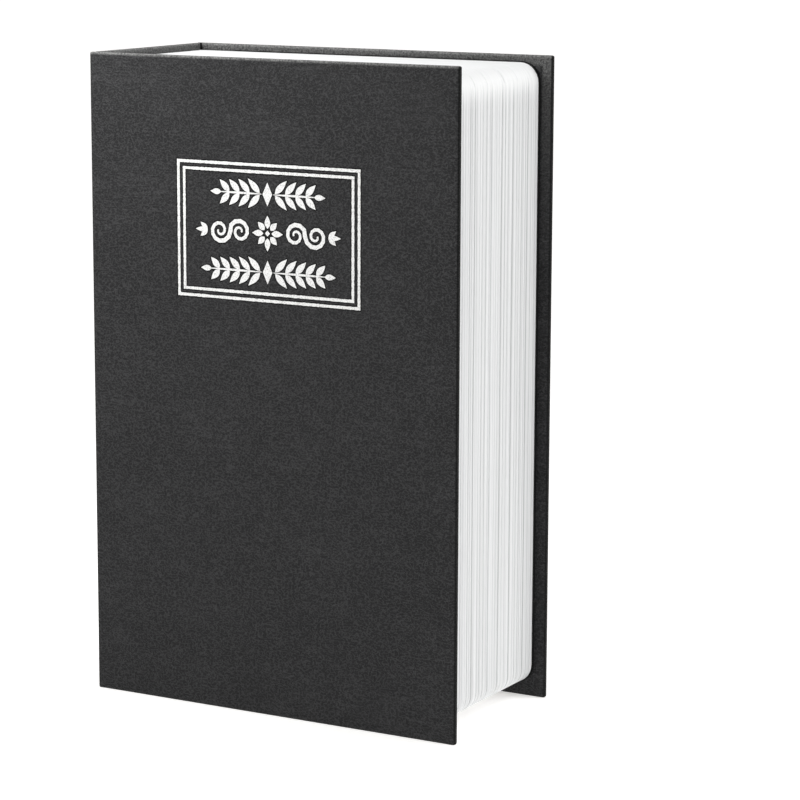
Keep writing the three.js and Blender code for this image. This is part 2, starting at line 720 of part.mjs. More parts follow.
function buildLockCase() {
  const halfX = FACE_WIDTH / 2;
  const halfZ = faceLength / 2;
  const inside = bezelBack - SINK;
  const behind = caseBack + OVERRUN;
  const flange = facePlate(halfX + BEZEL_WIDTH, halfZ + BEZEL_WIDTH, BEZEL_CORNER, bezelFront, bezelBack);
  const pocketHalfX = halfX + FACE_GAP;
  const pocketHalfZ = halfZ + FACE_GAP;
  const pocket = facePlate(pocketHalfX, pocketHalfZ, FACE_CORNER, bezelFront - OVERRUN, pocketFloor);
  const body = cut(
    block(caseLeft, caseRight, pocketFloor, caseBack, caseBottom, caseTop),
    block(
      caseLeft + CASE_WALL, caseRight - CASE_WALL, bezelBack, behind,
      caseBottom + CASE_WALL, caseTop - CASE_WALL,
    ),
  );
  const posts = screwPlaces().map(([x, z]) => discY(POST_RADIUS, inside, caseBack, x, z, PIN_SIDES));
  const bearingRight = wheelX + windowReach;
  const bearingBack = caseBack - BEARING_TO_COVER;
  const bearings = [shaftTop + BEARING_GAP, shaftBottom - BEARING_GAP - BEARING_WALL].map((z) => (
    block(caseLeft + CASE_WALL / 2, bearingRight, inside, bearingBack, z, z + BEARING_WALL)
  ));
  const guideFront = fenceFront - FENCE_CLEARANCE;
  const guides = guidePlaces.map((z) => (
    block(fenceLeft, caseRight - CASE_WALL / 2, inside, guideFront, z, z + GUIDE_LENGTH)
  ));
  const shaftRun = BEARING_GAP + BEARING_WALL + OVERRUN;
  const boreRadius = SHAFT_RADIUS + FACE_GAP;
  const screwRadius = SCREW_RADIUS + FACE_GAP;
  const holes = [
    ...windows(0, pocketFloor - OVERRUN, bezelBack + OVERRUN),
    spindleHole(pocketFloor, bezelBack),
    barZ(boreRadius, shaftBottom - shaftRun, shaftTop + shaftRun, wheelX, wheelY, BAR_SIDES),
    ...screwPlaces().map(([x, z]) => discY(screwRadius, caseBack - SCREW_LENGTH, behind, x, z, PIN_SIDES)),
  ];
  const whole = join(cut(flange, pocket), body, ...posts, ...bearings, ...guides);
  addMesh("lock_case", cut(whole, ...holes), "black");
}

function buildLockFace() {
  const halfX = FACE_WIDTH / 2;
  const halfZ = faceLength / 2;
  const innerX = halfX - TRIM_WIDTH;
  const innerZ = halfZ - TRIM_WIDTH;
  const innerCorner = FACE_CORNER - TRIM_WIDTH / 2;
  const trimFront = bezelFront - TRIM_PROUD;
  const trim = cut(
    facePlate(halfX, halfZ, FACE_CORNER, trimFront, panelBack),
    facePlate(innerX, innerZ, innerCorner, trimFront - OVERRUN, panelBack + OVERRUN),
  );
  addMesh("lock_trim", trim, "gold");
  const panel = cut(
    facePlate(innerX - FACE_GAP, innerZ - FACE_GAP, innerCorner, panelFront, panelBack),
    ...windows(INDEX_LEDGE, panelFront - OVERRUN, panelBack + OVERRUN),
    spindleHole(panelFront, panelBack),
  );
  addMesh("lock_panel", panel, "black");
}

// The frame that is pushed on from behind, against the underside of the platform
function buildLockClip() {
  const clipFront = platformFront + SHEET + FACE_GAP;
  const clipBack = clipFront + CLIP_THICKNESS;
  const around = (halfX, halfZ, y0, y1) => (
    block(lockX - halfX, lockX + halfX, y0, y1, lockZ - halfZ, lockZ + halfZ)
  );
  const frame = around(platformHalfX - CLIP_TO_SLOPE, platformHalfZ - CLIP_TO_SLOPE, clipFront, clipBack);
  const hole = around(caseHalfX + FACE_GAP, caseHalfZ + FACE_GAP, clipFront - OVERRUN, clipBack + OVERRUN);
  addMesh("lock_clip", cut(frame, hole), "zinc");
}

const leverX = lockX - LEVER_OFFSET;
const leverZ = caseBottom + LEVER_FROM_END;

function buildLockBack() {
  const slotHalf = LEVER_STEM / 2 + LEVER_CLEARANCE;
  const shankRadius = SCREW_RADIUS + FACE_GAP;
  const headRadius = SCREW_HEAD_RADIUS + FACE_GAP;
  const heads = screwPlaces().map(([x, z]) => turnedY(
    [
      [0, coverPlateFront - OVERRUN],
      [shankRadius, coverPlateFront - OVERRUN],
      [shankRadius, coverPlateBack - SCREW_HEAD],
      [headRadius, coverPlateBack],
      [headRadius, coverPlateBack + OVERRUN],
      [0, coverPlateBack + OVERRUN],
    ],
    x, z, PIN_SIDES,
  ));
  const railFront = fenceBack + FENCE_CLEARANCE;
  const rails = guidePlaces.map((z) => (
    block(fenceLeft, fenceRight + FENCE_TRAVEL, railFront, coverPlateFront + SINK, z, z + GUIDE_LENGTH)
  ));
  const plateBody = block(caseLeft, caseRight, coverPlateFront, coverPlateBack, caseBottom, caseTop);
  const slot = block(
    leverX - slotHalf, leverX + slotHalf, coverPlateFront - OVERRUN, coverPlateBack + OVERRUN,
    leverZ - slotHalf, leverZ + slotHalf + LEVER_TRAVEL,
  );
  const holes = [slot, spindleHole(coverPlateFront, coverPlateBack), ...heads];
  addMesh("lock_back_cover", cut(join(plateBody, ...rails), ...holes), "black");
}

function buildLockScrews() {
  const headTop = coverPlateBack;
  const tip = headTop - SCREW_LENGTH;
  screwPlaces().forEach(([x, z], i) => {
    const screw = turnedY(
      [
        [0, tip],
        [SCREW_RADIUS / 2, tip],
        [SCREW_RADIUS, tip + SCREW_RADIUS],
        [SCREW_RADIUS, headTop - SCREW_HEAD],
        [SCREW_HEAD_RADIUS, headTop],
        [0, headTop],
      ],
      x, z, PIN_SIDES,
    );
    addMesh(`lock_screw_${i + 1}`, screw, "zinc");
  });
}

// A number wheel: a rim with a finger notch between each two numbers
function wheelOutline() {
  const shape = new THREE.Shape();
  const pitch = (Math.PI * 2) / WHEEL_DIGITS;
  for (let n = 0; n < WHEEL_DIGITS; n++) {
    const middle = (n + 0.5) * pitch;
    const stops = [
      [middle - pitch / 2, WHEEL_RADIUS],
      [middle - pitch / 4, WHEEL_RADIUS],
      [middle - WHEEL_NOTCH_HALF_ANGLE, WHEEL_RADIUS],
      [middle, WHEEL_RADIUS - WHEEL_NOTCH],
      [middle + WHEEL_NOTCH_HALF_ANGLE, WHEEL_RADIUS],
      [middle + pitch / 4, WHEEL_RADIUS],
    ];
    stops.forEach(([angle, radius], i) => {
      const x = radius * Math.cos(angle);
      const y = radius * Math.sin(angle);
      if (n === 0 && i === 0) shape.moveTo(x, y);
      else shape.lineTo(x, y);
    });
  }
  return shape;
}

function buildWheels() {
  const bore = SHAFT_RADIUS + SHAFT_CLEARANCE;
  wheelZ.forEach((z, i) => {
    const rim = new THREE.ExtrudeGeometry(wheelOutline(), { depth: WHEEL_WIDTH, bevelEnabled: false });
    rim.rotateZ(-Math.PI / 2);
    rim.translate(wheelX, wheelY, z - WHEEL_WIDTH / 2);
    const hole = barZ(bore, z - WHEEL_WIDTH, z + WHEEL_WIDTH, wheelX, wheelY, BAR_SIDES);
    addMesh(`number_wheel_${i + 1}`, cut(solid(rim), hole), "black");
    const ringTop = z - gateTop;
    const ringBottom = ringTop - GATE_WIDTH;
    const above = ringTop + OVERRUN;
    const below = ringBottom - OVERRUN;
    const notchHalf = GATE_NOTCH_WIDTH / 2;
    const ring = cut(
      barZ(GATE_RADIUS, ringBottom, ringTop, wheelX, wheelY, DISC_SIDES),
      barZ(bore, below, above, wheelX, wheelY, BAR_SIDES),
      block(
        wheelX + GATE_RADIUS - GATE_NOTCH_DEPTH, wheelX + GATE_RADIUS + OVERRUN,
        wheelY - notchHalf, wheelY + notchHalf, below, above,
      ),
    );
    addMesh(`gate_ring_${i + 1}`, ring, "brass");
  });
  const run = BEARING_GAP + BEARING_WALL;
  const shaft = barZ(SHAFT_RADIUS, shaftBottom - run, shaftTop + run, wheelX, wheelY, BAR_SIDES);
  addMesh("wheel_shaft", shaft, "zinc");
}

// The fence: a bar beside the wheels, with a tooth for each gate and a foot beside the eccentric
function buildFence() {
  const toothLeft = wheelX + GATE_RADIUS + FENCE_CLEARANCE;
  const teeth = wheelZ.map((z) => {
    const bottom = z - gateTop - (GATE_WIDTH + FENCE_TOOTH) / 2;
    return block(toothLeft, fenceLeft + FENCE_WIDTH / 2, fenceFront, fenceBack, bottom, bottom + FENCE_TOOTH);
  });
  const low = Math.min(...guidePlaces);
  const bar = block(fenceLeft, fenceRight, fenceFront, fenceBack, low, knobZ + FENCE_END);
  addMesh("fence_bar", join(bar, ...teeth), "zinc");
}

// The leaf spring: a strip on the case's left wall with a bent finger at each wheel
function buildDetentSpring() {
  const wall = caseLeft + CASE_WALL + FACE_GAP;
  const tip = wheelX - WHEEL_RADIUS - FENCE_CLEARANCE;
  const outline = new THREE.Shape();
  const y0 = wheelY - SPRING_HEIGHT / 2;
  const y1 = wheelY + SPRING_HEIGHT / 2;
  outline.moveTo(wall, y0);
  outline.lineTo(wall + SPRING_SHEET, y0);
  outline.lineTo(tip, wheelY);
  outline.lineTo(wall + SPRING_SHEET, y1);
  outline.lineTo(wall, y1);
  outline.lineTo(wall, y1 - SPRING_SHEET);
  outline.lineTo(tip - SPRING_TIP, wheelY);
  outline.lineTo(wall, y0 + SPRING_SHEET);
  const fingers = wheelZ.map((z) => {
    const finger = new THREE.ExtrudeGeometry(outline, { depth: WHEEL_WIDTH / 2, bevelEnabled: false });
    finger.translate(0, 0, z - WHEEL_WIDTH / 4);
    return solid(finger);
  });
  const strip = block(wall, wall + SPRING_SHEET, y1 - SPRING_SHEET, y1 + SPRING_FOOT, shaftBottom, shaftTop);
  addMesh("detent_spring", join(strip, ...fingers), "zinc");
}

function buildKnob() {
  const socketEnd = knobBack - KNOB_SOCKET;
  const bore = SPINDLE_RADIUS + FACE_GAP;
  const knob = turnedY(
    [
      [0, knobFront],
      [KNOB_TOP_RADIUS - KNOB_EDGE, knobFront],
      [KNOB_TOP_RADIUS, knobFront + KNOB_EDGE],
      [KNOB_RADIUS - KNOB_EDGE, knobBack - KNOB_SKIRT - KNOB_EDGE],
      [KNOB_RADIUS, knobBack - KNOB_SKIRT],
      [KNOB_RADIUS, knobBack],
      [bore, knobBack],
      [bore, socketEnd],
      [0, socketEnd],
    ],
    lockX, knobZ, KNOB_SIDES,
  );
  addMesh("knob", knob, "black");
  const squareHalf = SQUARE_SIZE / 2;
  const squareFront = latchFront - FACE_GAP;
  const eccentricFront = wheelY - ECCENTRIC_THICKNESS / 2;
  const eccentricBack = eccentricFront + ECCENTRIC_THICKNESS;
  const spindle = join(
    discY(SPINDLE_RADIUS, socketEnd + FACE_GAP, squareFront, lockX, knobZ, DISC_SIDES),
    discY(ECCENTRIC_RADIUS, eccentricFront, eccentricBack, lockX, knobZ + FENCE_TRAVEL, DISC_SIDES),
    block(
      lockX - squareHalf, lockX + squareHalf, squareFront - SINK, latchBack,
      knobZ - squareHalf, knobZ + squareHalf,
    ),
    discY(THREAD_RADIUS, latchBack - SINK, spindleBack, lockX, knobZ, BAR_SIDES),
  );
  addMesh("knob_spindle", spindle, "zinc");
}

// The latch arm points up when open, and turns towards the fore-edge to lock
function buildLatch() {
  const half = LATCH_WIDTH / 2;
  const outline = new THREE.Shape();
  outline.absarc(lockX, knobZ, half, Math.PI, 0);
  outline.lineTo(lockX + half, knobZ + latchReach - half / 2);
  outline.lineTo(lockX + half / 2, knobZ + latchReach);
  outline.lineTo(lockX - half / 2, knobZ + latchReach);
  outline.lineTo(lockX - half, knobZ + latchReach - half / 2);
  const hole = SQUARE_SIZE / 2 + FACE_GAP;
  const arm = cut(
    plate(outline, latchFront, latchBack, PIN_SIDES),
    block(lockX - hole, lockX + hole, latchFront - OVERRUN, latchBack + OVERRUN, knobZ - hole, knobZ + hole),
  );
  addMesh("latch_arm", arm, "zinc");
  const washerFront = latchBack + STACK_GAP;
  const bore = THREAD_RADIUS + FACE_GAP;
  const hollow = discY(bore, washerFront - OVERRUN, nutBack + OVERRUN, lockX, knobZ, BAR_SIDES);
  const washer = discY(WASHER_RADIUS, washerFront, washerBack, lockX, knobZ, DISC_SIDES);
  addMesh("latch_washer", cut(washer, hollow), "zinc");
  const nut = discY(NUT_RADIUS, washerBack + STACK_GAP, nutBack, lockX, knobZ, NUT_SIDES);
  addMesh("latch_nut", cut(nut, hollow), "zinc");
}

function buildResetLever() {
  const plateFront = coverPlateBack + LEVER_GAP;
  const plateBack = plateFront + LEVER_PLATE;
  const tip = coverPlateFront - LEVER_STEM_REACH;
  const bar = (halfX, y0, y1, halfZ) => (
    block(leverX - halfX, leverX + halfX, y0, y1, leverZ - halfZ, leverZ + halfZ)
  );
  const lever = join(
    bar(LEVER_WIDTH / 2, plateFront, plateBack, LEVER_LENGTH / 2),
    bar(LEVER_WIDTH / 2, plateBack - SINK, plateBack + LEVER_PLATE, LEVER_STEM / 2),
    bar(LEVER_STEM / 2, tip, plateFront + SINK, LEVER_STEM / 2),
  );
  addMesh("reset_lever", lever, "brass");
}

buildCover("front", front, 1);
buildCover("back", back, -1);
buildSpine();
buildPageFrame();
buildTray();
buildRivets();
buildStrike();
buildHingePin();
buildLid();
buildLockCase();
buildLockFace();
buildLockClip();
buildLockBack();
buildLockScrews();
buildWheels();
buildFence();
buildDetentSpring();
buildKnob();
buildLatch();
buildResetLever();

export default book;
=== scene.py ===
# A book diversion safe: a case-bound book whose pages are a white moulding round a steel strongbox.
# Sizes are in millimetres, and become metres where a mesh is made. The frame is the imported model's own:
# +Z up along the spine, +X from the spine to the fore-edge, -Y out of the front cover.
import math
import random

import bmesh
import bpy
from mathutils import Matrix, Vector, noise


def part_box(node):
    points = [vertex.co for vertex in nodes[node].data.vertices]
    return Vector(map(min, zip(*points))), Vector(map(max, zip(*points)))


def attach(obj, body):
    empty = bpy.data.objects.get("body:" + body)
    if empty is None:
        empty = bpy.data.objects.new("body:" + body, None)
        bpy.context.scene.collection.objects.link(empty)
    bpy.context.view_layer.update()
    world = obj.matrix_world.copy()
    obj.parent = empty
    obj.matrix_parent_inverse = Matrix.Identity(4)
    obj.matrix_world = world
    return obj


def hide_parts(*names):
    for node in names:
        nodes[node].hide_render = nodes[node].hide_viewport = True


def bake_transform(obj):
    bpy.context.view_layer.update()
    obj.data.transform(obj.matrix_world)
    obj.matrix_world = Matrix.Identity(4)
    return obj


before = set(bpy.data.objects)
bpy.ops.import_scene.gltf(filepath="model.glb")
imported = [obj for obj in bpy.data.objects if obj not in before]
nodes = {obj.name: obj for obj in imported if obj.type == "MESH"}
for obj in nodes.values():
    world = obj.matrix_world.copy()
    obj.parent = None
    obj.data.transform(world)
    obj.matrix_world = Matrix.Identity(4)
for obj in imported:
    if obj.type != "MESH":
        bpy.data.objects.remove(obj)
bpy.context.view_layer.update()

# The three boards are cut from grey bookbinder's board. They are sealed inside the covering paper, so they
# show only where the case is taken apart.
MM = 0.001
BOARD_GREY = (141, 135, 121)
BOARD_DARK = (120, 114, 101)
BOARD_PALE = (158, 152, 138)
FIBRE_SIZE = 0.9
FIBRE_DEPTH = 0.06


class Wire:
    """An output of a shader node. Arithmetic on wires and numbers adds Math nodes."""

    def __init__(self, socket):
        self.socket = socket

    def node(self, kind, settings=None, inputs=None, output=0):
        """Another node of this tree: its settings are set first, then values or wires into its sockets."""
        made = self.socket.id_data.nodes.new(kind)
        for name, value in (settings or {}).items():
            setattr(made, name, value)
        for name, value in (inputs or {}).items():
            plug(made.inputs[name], value)
        return Wire(made.outputs[output])

    def math(self, operation, *others):
        inputs = {i: value for i, value in enumerate((self, *others))}
        return self.node("ShaderNodeMath", {"operation": operation}, inputs)

    def __add__(self, other):
        return self.math("ADD", other)

    __radd__ = __add__

    def __mul__(self, other):
        return self.math("MULTIPLY", other)

    __rmul__ = __mul__

    def __sub__(self, other):
        return self.math("SUBTRACT", other)

    def __rsub__(self, other):
        return self.node("ShaderNodeMath", {"operation": "SUBTRACT"}, {0: other, 1: self})

    def __truediv__(self, other):
        return self.math("DIVIDE", other)

    def __abs__(self):
        return self.math("ABSOLUTE")


def plug(socket, value):
    if isinstance(value, Wire):
        socket.id_data.links.new(value.socket, socket)
    else:
        socket.default_value = value


def paint(red, green, blue):
    """A linear colour from the 0 to 255 values of a screen."""
    screen = [channel / 255 for channel in (red, green, blue)]
    linear = [c / 12.92 if c <= 0.04045 else ((c + 0.055) / 1.055) ** 2.4 for c in screen]
    return (*linear, 1)


def new_finish(name, color, roughness, **fixed):
    """A material of a screen colour with its shader, and the place on the piece in millimetres as a wire."""
    material = bpy.data.materials.new(name)
    material.use_nodes = True
    shader = material.node_tree.nodes["Principled BSDF"]
    shader.inputs["Base Color"].default_value = paint(*color)
    shader.inputs["Roughness"].default_value = roughness
    for socket, value in fixed.items():
        shader.inputs[socket.replace("_", " ")].default_value = value
    coordinates = material.node_tree.nodes.new("ShaderNodeTexCoord")
    place = stretch(Wire(coordinates.outputs["Object"]), 1 / MM, 1 / MM, 1 / MM)
    return material, shader, place


def stretch(place, x, y, z):
    return place.node("ShaderNodeVectorMath", {"operation": "MULTIPLY"}, {0: place, 1: (x, y, z)})


def clouds(place, size, detail=2.0, roughness=0.5):
    """Soft noise from 0 to 1 whose features are about size millimetres."""
    return place.node(
        "ShaderNodeTexNoise", None,
        {"Vector": place, "Scale": 1 / size, "Detail": detail, "Roughness": roughness},
    )


def coordinate(place, axis):
    """A place's X, Y or Z, for axis 0, 1 or 2."""
    return place.node("ShaderNodeSeparateXYZ", None, {0: place}, axis)


def ramp(wire, *stops):
    """A wire's value sent through (value, grey) stops."""
    made = wire.node("ShaderNodeValToRGB", None, {0: wire})
    elements = made.socket.node.color_ramp.elements
    while len(elements) < len(stops):
        elements.new(0.5)
    for element, (position, grey) in zip(elements, stops):
        element.position = position
        element.color = (grey, grey, grey, 1)
    return made


def mix(factor, low, high):
    """A colour between two others, each a wire or a screen colour."""
    low, high = (color if isinstance(color, Wire) else paint(*color) for color in (low, high))
    return factor.node("ShaderNodeMix", {"data_type": "RGBA"}, {0: factor, 6: low, 7: high}, 2)


def relief(height, depth):
    """A bumped normal from a height of 0 to 1 over a depth in millimetres."""
    return height.node("ShaderNodeBump", None, {"Height": height, "Distance": depth * MM, "Strength": 1.0})


def vary(shader, color, roughness=None, normal=None):
    """Links what varies over a finish."""
    for name, value in (("Base Color", color), ("Roughness", roughness), ("Normal", normal)):
        if value:
            plug(shader.inputs[name], value)


def dress(material, *names):
    """Gives CAD pieces a finish."""
    for name in names:
        nodes[name].data.materials.clear()
        nodes[name].data.materials.append(material)


def corners(name):
    """A CAD piece's lowest and highest corners in millimetres."""
    return tuple(Vector(corner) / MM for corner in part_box(name))


board_paper, shader, place = new_finish("grey_board", BOARD_GREY, 0.9)
fibres = clouds(stretch(place, 1, 1, 4), FIBRE_SIZE, 4, 0.7)
vary(shader, mix(fibres, BOARD_DARK, BOARD_PALE), normal=relief(fibres, FIBRE_DEPTH))
dress(board_paper, "front_board", "spine_board", "back_board")


# The covering is one sheet of dark grey paper embossed with a fine leather grain. It's glued over the boards
# and turned in round their edges, and it folds in the joints beside the spine. Its head edge carries a patchy
# painted highlight, and its inner faces are painted lighter near the head as painted light from above. Its
# folds at the fore-edges and the spine side, and its joints, are painted near black as painted shade. A small
# notch at each end of a joint shows where it folds in between two boards.
FOLD_ROUND = 0.45
CORNER_ROUND = 0.5
ARC_STEPS = 5
SHEET_STEP = 2.0
SLOT_START = 0.7
SLOT_WIDTH = 0.5
GROOVE_DEPTH = 0.4
GRAIN_DEPTH = 0.4
HEAD_HIGHLIGHT_DEPTH = 0.9
SHEET_LOW = (24, 24, 25)
SHEET_HIGH = (69, 69, 70)
SHEET_HEAD_HIGHLIGHT = (140, 140, 139)
SHEET_FOLD_SHADE = (7, 7, 7)
SHEET_HEAD_LIGHT = (112, 112, 111)
HEAD_LIGHT_FADE = 60
HEAD_LIGHT_STOPS = ((0, 0.9), (0.07, 0.72), (0.16, 0.56), (0.35, 0.34), (0.66, 0.14), (1, 0.03))
NOTCH_DEPTH = 1.4
NOTCH_REACH = 3.2
NOTCH_HALF = 0.45
NOTCH_FROM_SPINE = 0.12
JOINT_DARK = 0.85
GRAIN_PEBBLE = 0.45
GRAIN_WORM = 0.75
WRINKLE_PITCH = 1.35
WRINKLE_PATCH = 15

front_low, front_high = corners("cover_paper_front")
spine_low, spine_high = corners("cover_paper_spine")
back_low, _ = corners("cover_paper_back")
board_thickness = front_high.y - front_low.y
spine_in = spine_low.x - front_low.x
spine_through = spine_high.x - front_low.x
notch_middle = back_low.y - NOTCH_FROM_SPINE


def even_steps(start, end, step):
    """Values from start towards end, both left out, about step apart."""
    count = max(2, round(abs(end - start) / step))
    return [start + (end - start) * k / count for k in range(1, count)]


def fold_round():
    """A quarter round of folded paper: how far it lies in from either side, from one side to the other."""
    turns = [k / ARC_STEPS * math.pi / 2 for k in range(ARC_STEPS + 1)]
    return [(FOLD_ROUND * (1 - math.cos(turn)), FOLD_ROUND * (1 - math.sin(turn))) for turn in turns]


def fore_edge_pairs():
    """Outer and inner points of the turned-in paper, from the fore-edge to the flat of the board, as
    (in from the fore-edge, towards the spine panel from the board's inside)."""
    return [((along, down - board_thickness), (along, -down)) for along, down in fold_round()]


def joint_pairs():
    """Outer and inner points from the flat of the board, round its edge and through the joint to the spine,
    as (in from the spine side, towards the spine panel from the board's inside)."""
    pairs = []
    for k, (down, along) in enumerate(fold_round()):
        pairs.append(((along, down - board_thickness), (spine_through - k / ARC_STEPS, 0)))
    return pairs + [
        ((0, -board_thickness / 3), (SLOT_START + 0.15, 0)),
        ((0, -0.15), (SLOT_START, 0.03)),
        ((GROOVE_DEPTH / 3, 0.1), (SLOT_START, 0.15)),
        ((GROOVE_DEPTH, SLOT_WIDTH / 2), (SLOT_START, SLOT_WIDTH / 2)),
        ((spine_in + 0.1, SLOT_WIDTH - 0.1), (SLOT_START, SLOT_WIDTH - 0.12)),
        ((spine_in, SLOT_WIDTH + 0.1), (SLOT_START + 0.15, SLOT_WIDTH)),
        ((spine_in, SLOT_WIDTH + 0.3), (spine_through - 0.4, SLOT_WIDTH)),
        ((spine_in, SLOT_WIDTH + 0.5), (spine_through - 0.1, SLOT_WIDTH + 0.05)),
        ((spine_in, SLOT_WIDTH + 0.8), (spine_through, SLOT_WIDTH + 0.4)),
    ]


def sheet_stations():
    """Pairs of outer and inner points of the whole case in plan, from fore-edge to fore-edge."""
    left = front_low.x
    front = []
    for pair in fore_edge_pairs():
        front.append([(front_high.x - along, front_high.y + across) for along, across in pair])
    joint = []
    for pair in joint_pairs():
        joint.append([(left + along, front_high.y + across) for along, across in pair])
    for x in even_steps(front_high.x - FOLD_ROUND, left + spine_through, SHEET_STEP):
        front.append([(x, front_low.y), (x, front_high.y)])
    half = front + joint
    last = joint[-1]
    spine = []
    for y in even_steps(last[0][1], -last[0][1], SHEET_STEP):
        spine.append([(last[0][0], y), (last[1][0], y)])
    mirrored = [[(x, -y) for x, y in pair] for pair in reversed(half)]
    return half + spine + mirrored


def sheet_levels(height):
    """Heights from tail to head, each with how far the folded edge draws the paper in there."""
    end = fold_round()
    middle = [(z, 0) for z in even_steps(FOLD_ROUND, height - FOLD_ROUND, SHEET_STEP)]
    return end + middle + [(height - z, inset) for z, inset in reversed(end)]


def corner_cut(z, height):
    """How far the rounded corner of a board takes back the fore-edge at a height."""
    below = CORNER_ROUND - min(z, height - z, CORNER_ROUND)
    return CORNER_ROUND - math.sqrt(CORNER_ROUND**2 - below**2)


def notch(x, y, z):
    """How far the paper sinks at the head and tail of a joint, where it folds in between two boards."""
    if x > front_low.x + SLOT_START + 0.2:
        return 0
    across = max(0, 1 - abs(abs(y) - notch_middle) / NOTCH_HALF)
    near_end = max(0, 1 - min(z, front_high.z - z) / NOTCH_REACH)
    return NOTCH_DEPTH * across * near_end**2


def sheet_ring(stations, z, inset, cut):
    """The sheet's outer and inner points at a height, once round."""
    outer_side, inner_side = [], []
    for outer, inner in stations:
        across = Vector(inner) - Vector(outer)
        draw_in = across.normalized() * min(inset, 0.45 * across.length)
        for side, point in ((outer_side, Vector(outer) + draw_in), (inner_side, Vector(inner) - draw_in)):
            reach = min(1, max(0, (point.x - front_high.x + 4 * CORNER_ROUND) / (4 * CORNER_ROUND)))
            sink = notch(point.x, point.y, z) * (1 if z < front_high.z / 2 else -1)
            side.append((point.x - cut * reach, point.y, z + sink))
    return outer_side + inner_side[::-1]


def skin_faces(rows, columns, close_rows=False, close_columns=True):
    """Faces between rows of points of equal length, which follow each other."""
    faces = []
    for row in range(rows if close_rows else rows - 1):
        a, b = row * columns, (row + 1) % rows * columns
        for k in range(columns if close_columns else columns - 1):
            after = (k + 1) % columns
            faces.append((a + k, a + after, b + after, b + k))
    return faces


def shifted(faces, base):
    """The same faces on points that start at a later number."""
    return [tuple(base + k for k in face) for face in faces]


def placed(name, mesh, material, sharp_angle):
    """An object of a mesh that is shaded smoothly up to an angle in degrees."""
    mesh.materials.append(material)
    mesh.shade_smooth()
    mesh.set_sharp_from_angle(angle=math.radians(sharp_angle))
    piece = bpy.data.objects.new(name, mesh)
    bpy.context.scene.collection.objects.link(piece)
    return piece


def mesh_piece(name, points, faces, material, sharp_angle=35):
    """A mesh object from points in millimetres, with its faces turned outwards."""
    mesh = bpy.data.meshes.new(name)
    mesh.from_pydata([Vector(point) * MM for point in points], [], faces)
    tidy = bmesh.new()
    tidy.from_mesh(mesh)
    bmesh.ops.recalc_face_normals(tidy, faces=tidy.faces)
    tidy.to_mesh(mesh)
    tidy.free()
    return placed(name, mesh, material, sharp_angle)


def keep_rest_place(piece):
    """Stores where each point lies at rest, so that the finish reads its place from these points."""
    stored = piece.data.attributes.new("rest_place", "FLOAT_VECTOR", "POINT")
    stored.data.foreach_set("vector", [value / MM for v in piece.data.vertices for value in v.co])


def ridges(noise_wire, sharpness):
    """Thin ridges where a noise crosses its middle, from 0 to 1."""
    return (1 - abs(noise_wire - 0.5) * sharpness).math("MAXIMUM", 0)


def leather(place):
    """The embossed grain as two heights from 0 to 1: its pebbles and short worms with faint wrinkles, and
    the same with stronger wrinkles in patches."""
    pebbles = clouds(place, GRAIN_PEBBLE, 2, 0.55)
    worms = ridges(clouds(stretch(place, 0.65, 0.65, 1), GRAIN_WORM, 1.5), 12)
    wide = stretch(place, 0.5, 0.5, 1)
    sway = clouds(wide, 5, 2, 0.5) * 3
    level = place.node(
        "ShaderNodeCombineXYZ", None, {0: coordinate(place, 0) * 0.11, 2: coordinate(place, 2) + sway},
    )
    wrinkles = ridges(clouds(level, WRINKLE_PITCH, 1), 7)
    patches = ramp(clouds(wide, WRINKLE_PATCH, 2, 0.6), (0.44, 0.08), (0.66, 1))
    fine = pebbles * 0.34 + worms * 0.3 + wrinkles * patches * 0.08
    return fine, fine + wrinkles * patches * 0.26


def grained(shader, place, low, high):
    """Gives a finish the embossed grain. Its colour is darker in the hollows and lighter on the ridges:
    partly the paper's own tone, partly painted shade in the hollows and a painted sheen on the ridges.
    """
    fine, height = leather(place)
    tone = ramp(fine, (0.08, 0), (0.64, 1))
    plug(shader.inputs["Normal"], relief(height, GRAIN_DEPTH))
    return mix(tone, low, high)


covering, shader, place = new_finish("covering_paper", SHEET_LOW, 0.55, Specular_IOR_Level=0.12)
place = place.node("ShaderNodeAttribute", {"attribute_name": "rest_place"}, None, 1)
color = grained(shader, place, SHEET_LOW, SHEET_HIGH)
outward, through, upright = (coordinate(place, axis) for axis in range(3))
# Painted highlight: the last strip below the head is painted lighter in patches, where the light above
# catches the paper's edge.
sheen_patches = ramp(clouds(place, 0.55, 3, 0.7), (0.36, 0.1), (0.62, 1))
head_highlight = ramp((upright - (front_high.z - HEAD_HIGHLIGHT_DEPTH)) / HEAD_HIGHLIGHT_DEPTH, (0.1, 0), (0.8, 1)) * sheen_patches
# Painted shade: the paper's rounded folds at the fore-edges and the spine side are painted near black.
fold_shade = ramp((abs(outward) - (front_high.x - FOLD_ROUND)) / FOLD_ROUND, (0, 0), (0.8, 1))
# Painted light: the inner faces between the boards are painted lighter near the head, fading downwards, where
# light from above falls in.
between_boards = ramp((back_low.y + 0.2 - abs(through)) * 5, (0, 0), (1, 1))
inside = between_boards * ramp((outward - spine_low.x) * 3, (0, 0), (1, 1))
near_head = ramp((front_high.z - upright) / HEAD_LIGHT_FADE, *HEAD_LIGHT_STOPS)
color = mix(inside * near_head * sheen_patches, color, SHEET_HEAD_LIGHT)
# Painted shade in the joints, where the paper folds in between two boards.
joint_shade = ramp(1 - abs(abs(through) - notch_middle) / JOINT_DARK, (0.1, 0), (0.5, 1))
joint_shade = joint_shade * ramp(spine_high.x + 0.3 - outward, (0, 0), (0.5, 1))
color = mix(head_highlight, color, SHEET_HEAD_HIGHLIGHT)
color = mix(joint_shade, color, SHEET_FOLD_SHADE)
vary(shader, mix(fold_shade, color, SHEET_FOLD_SHADE))

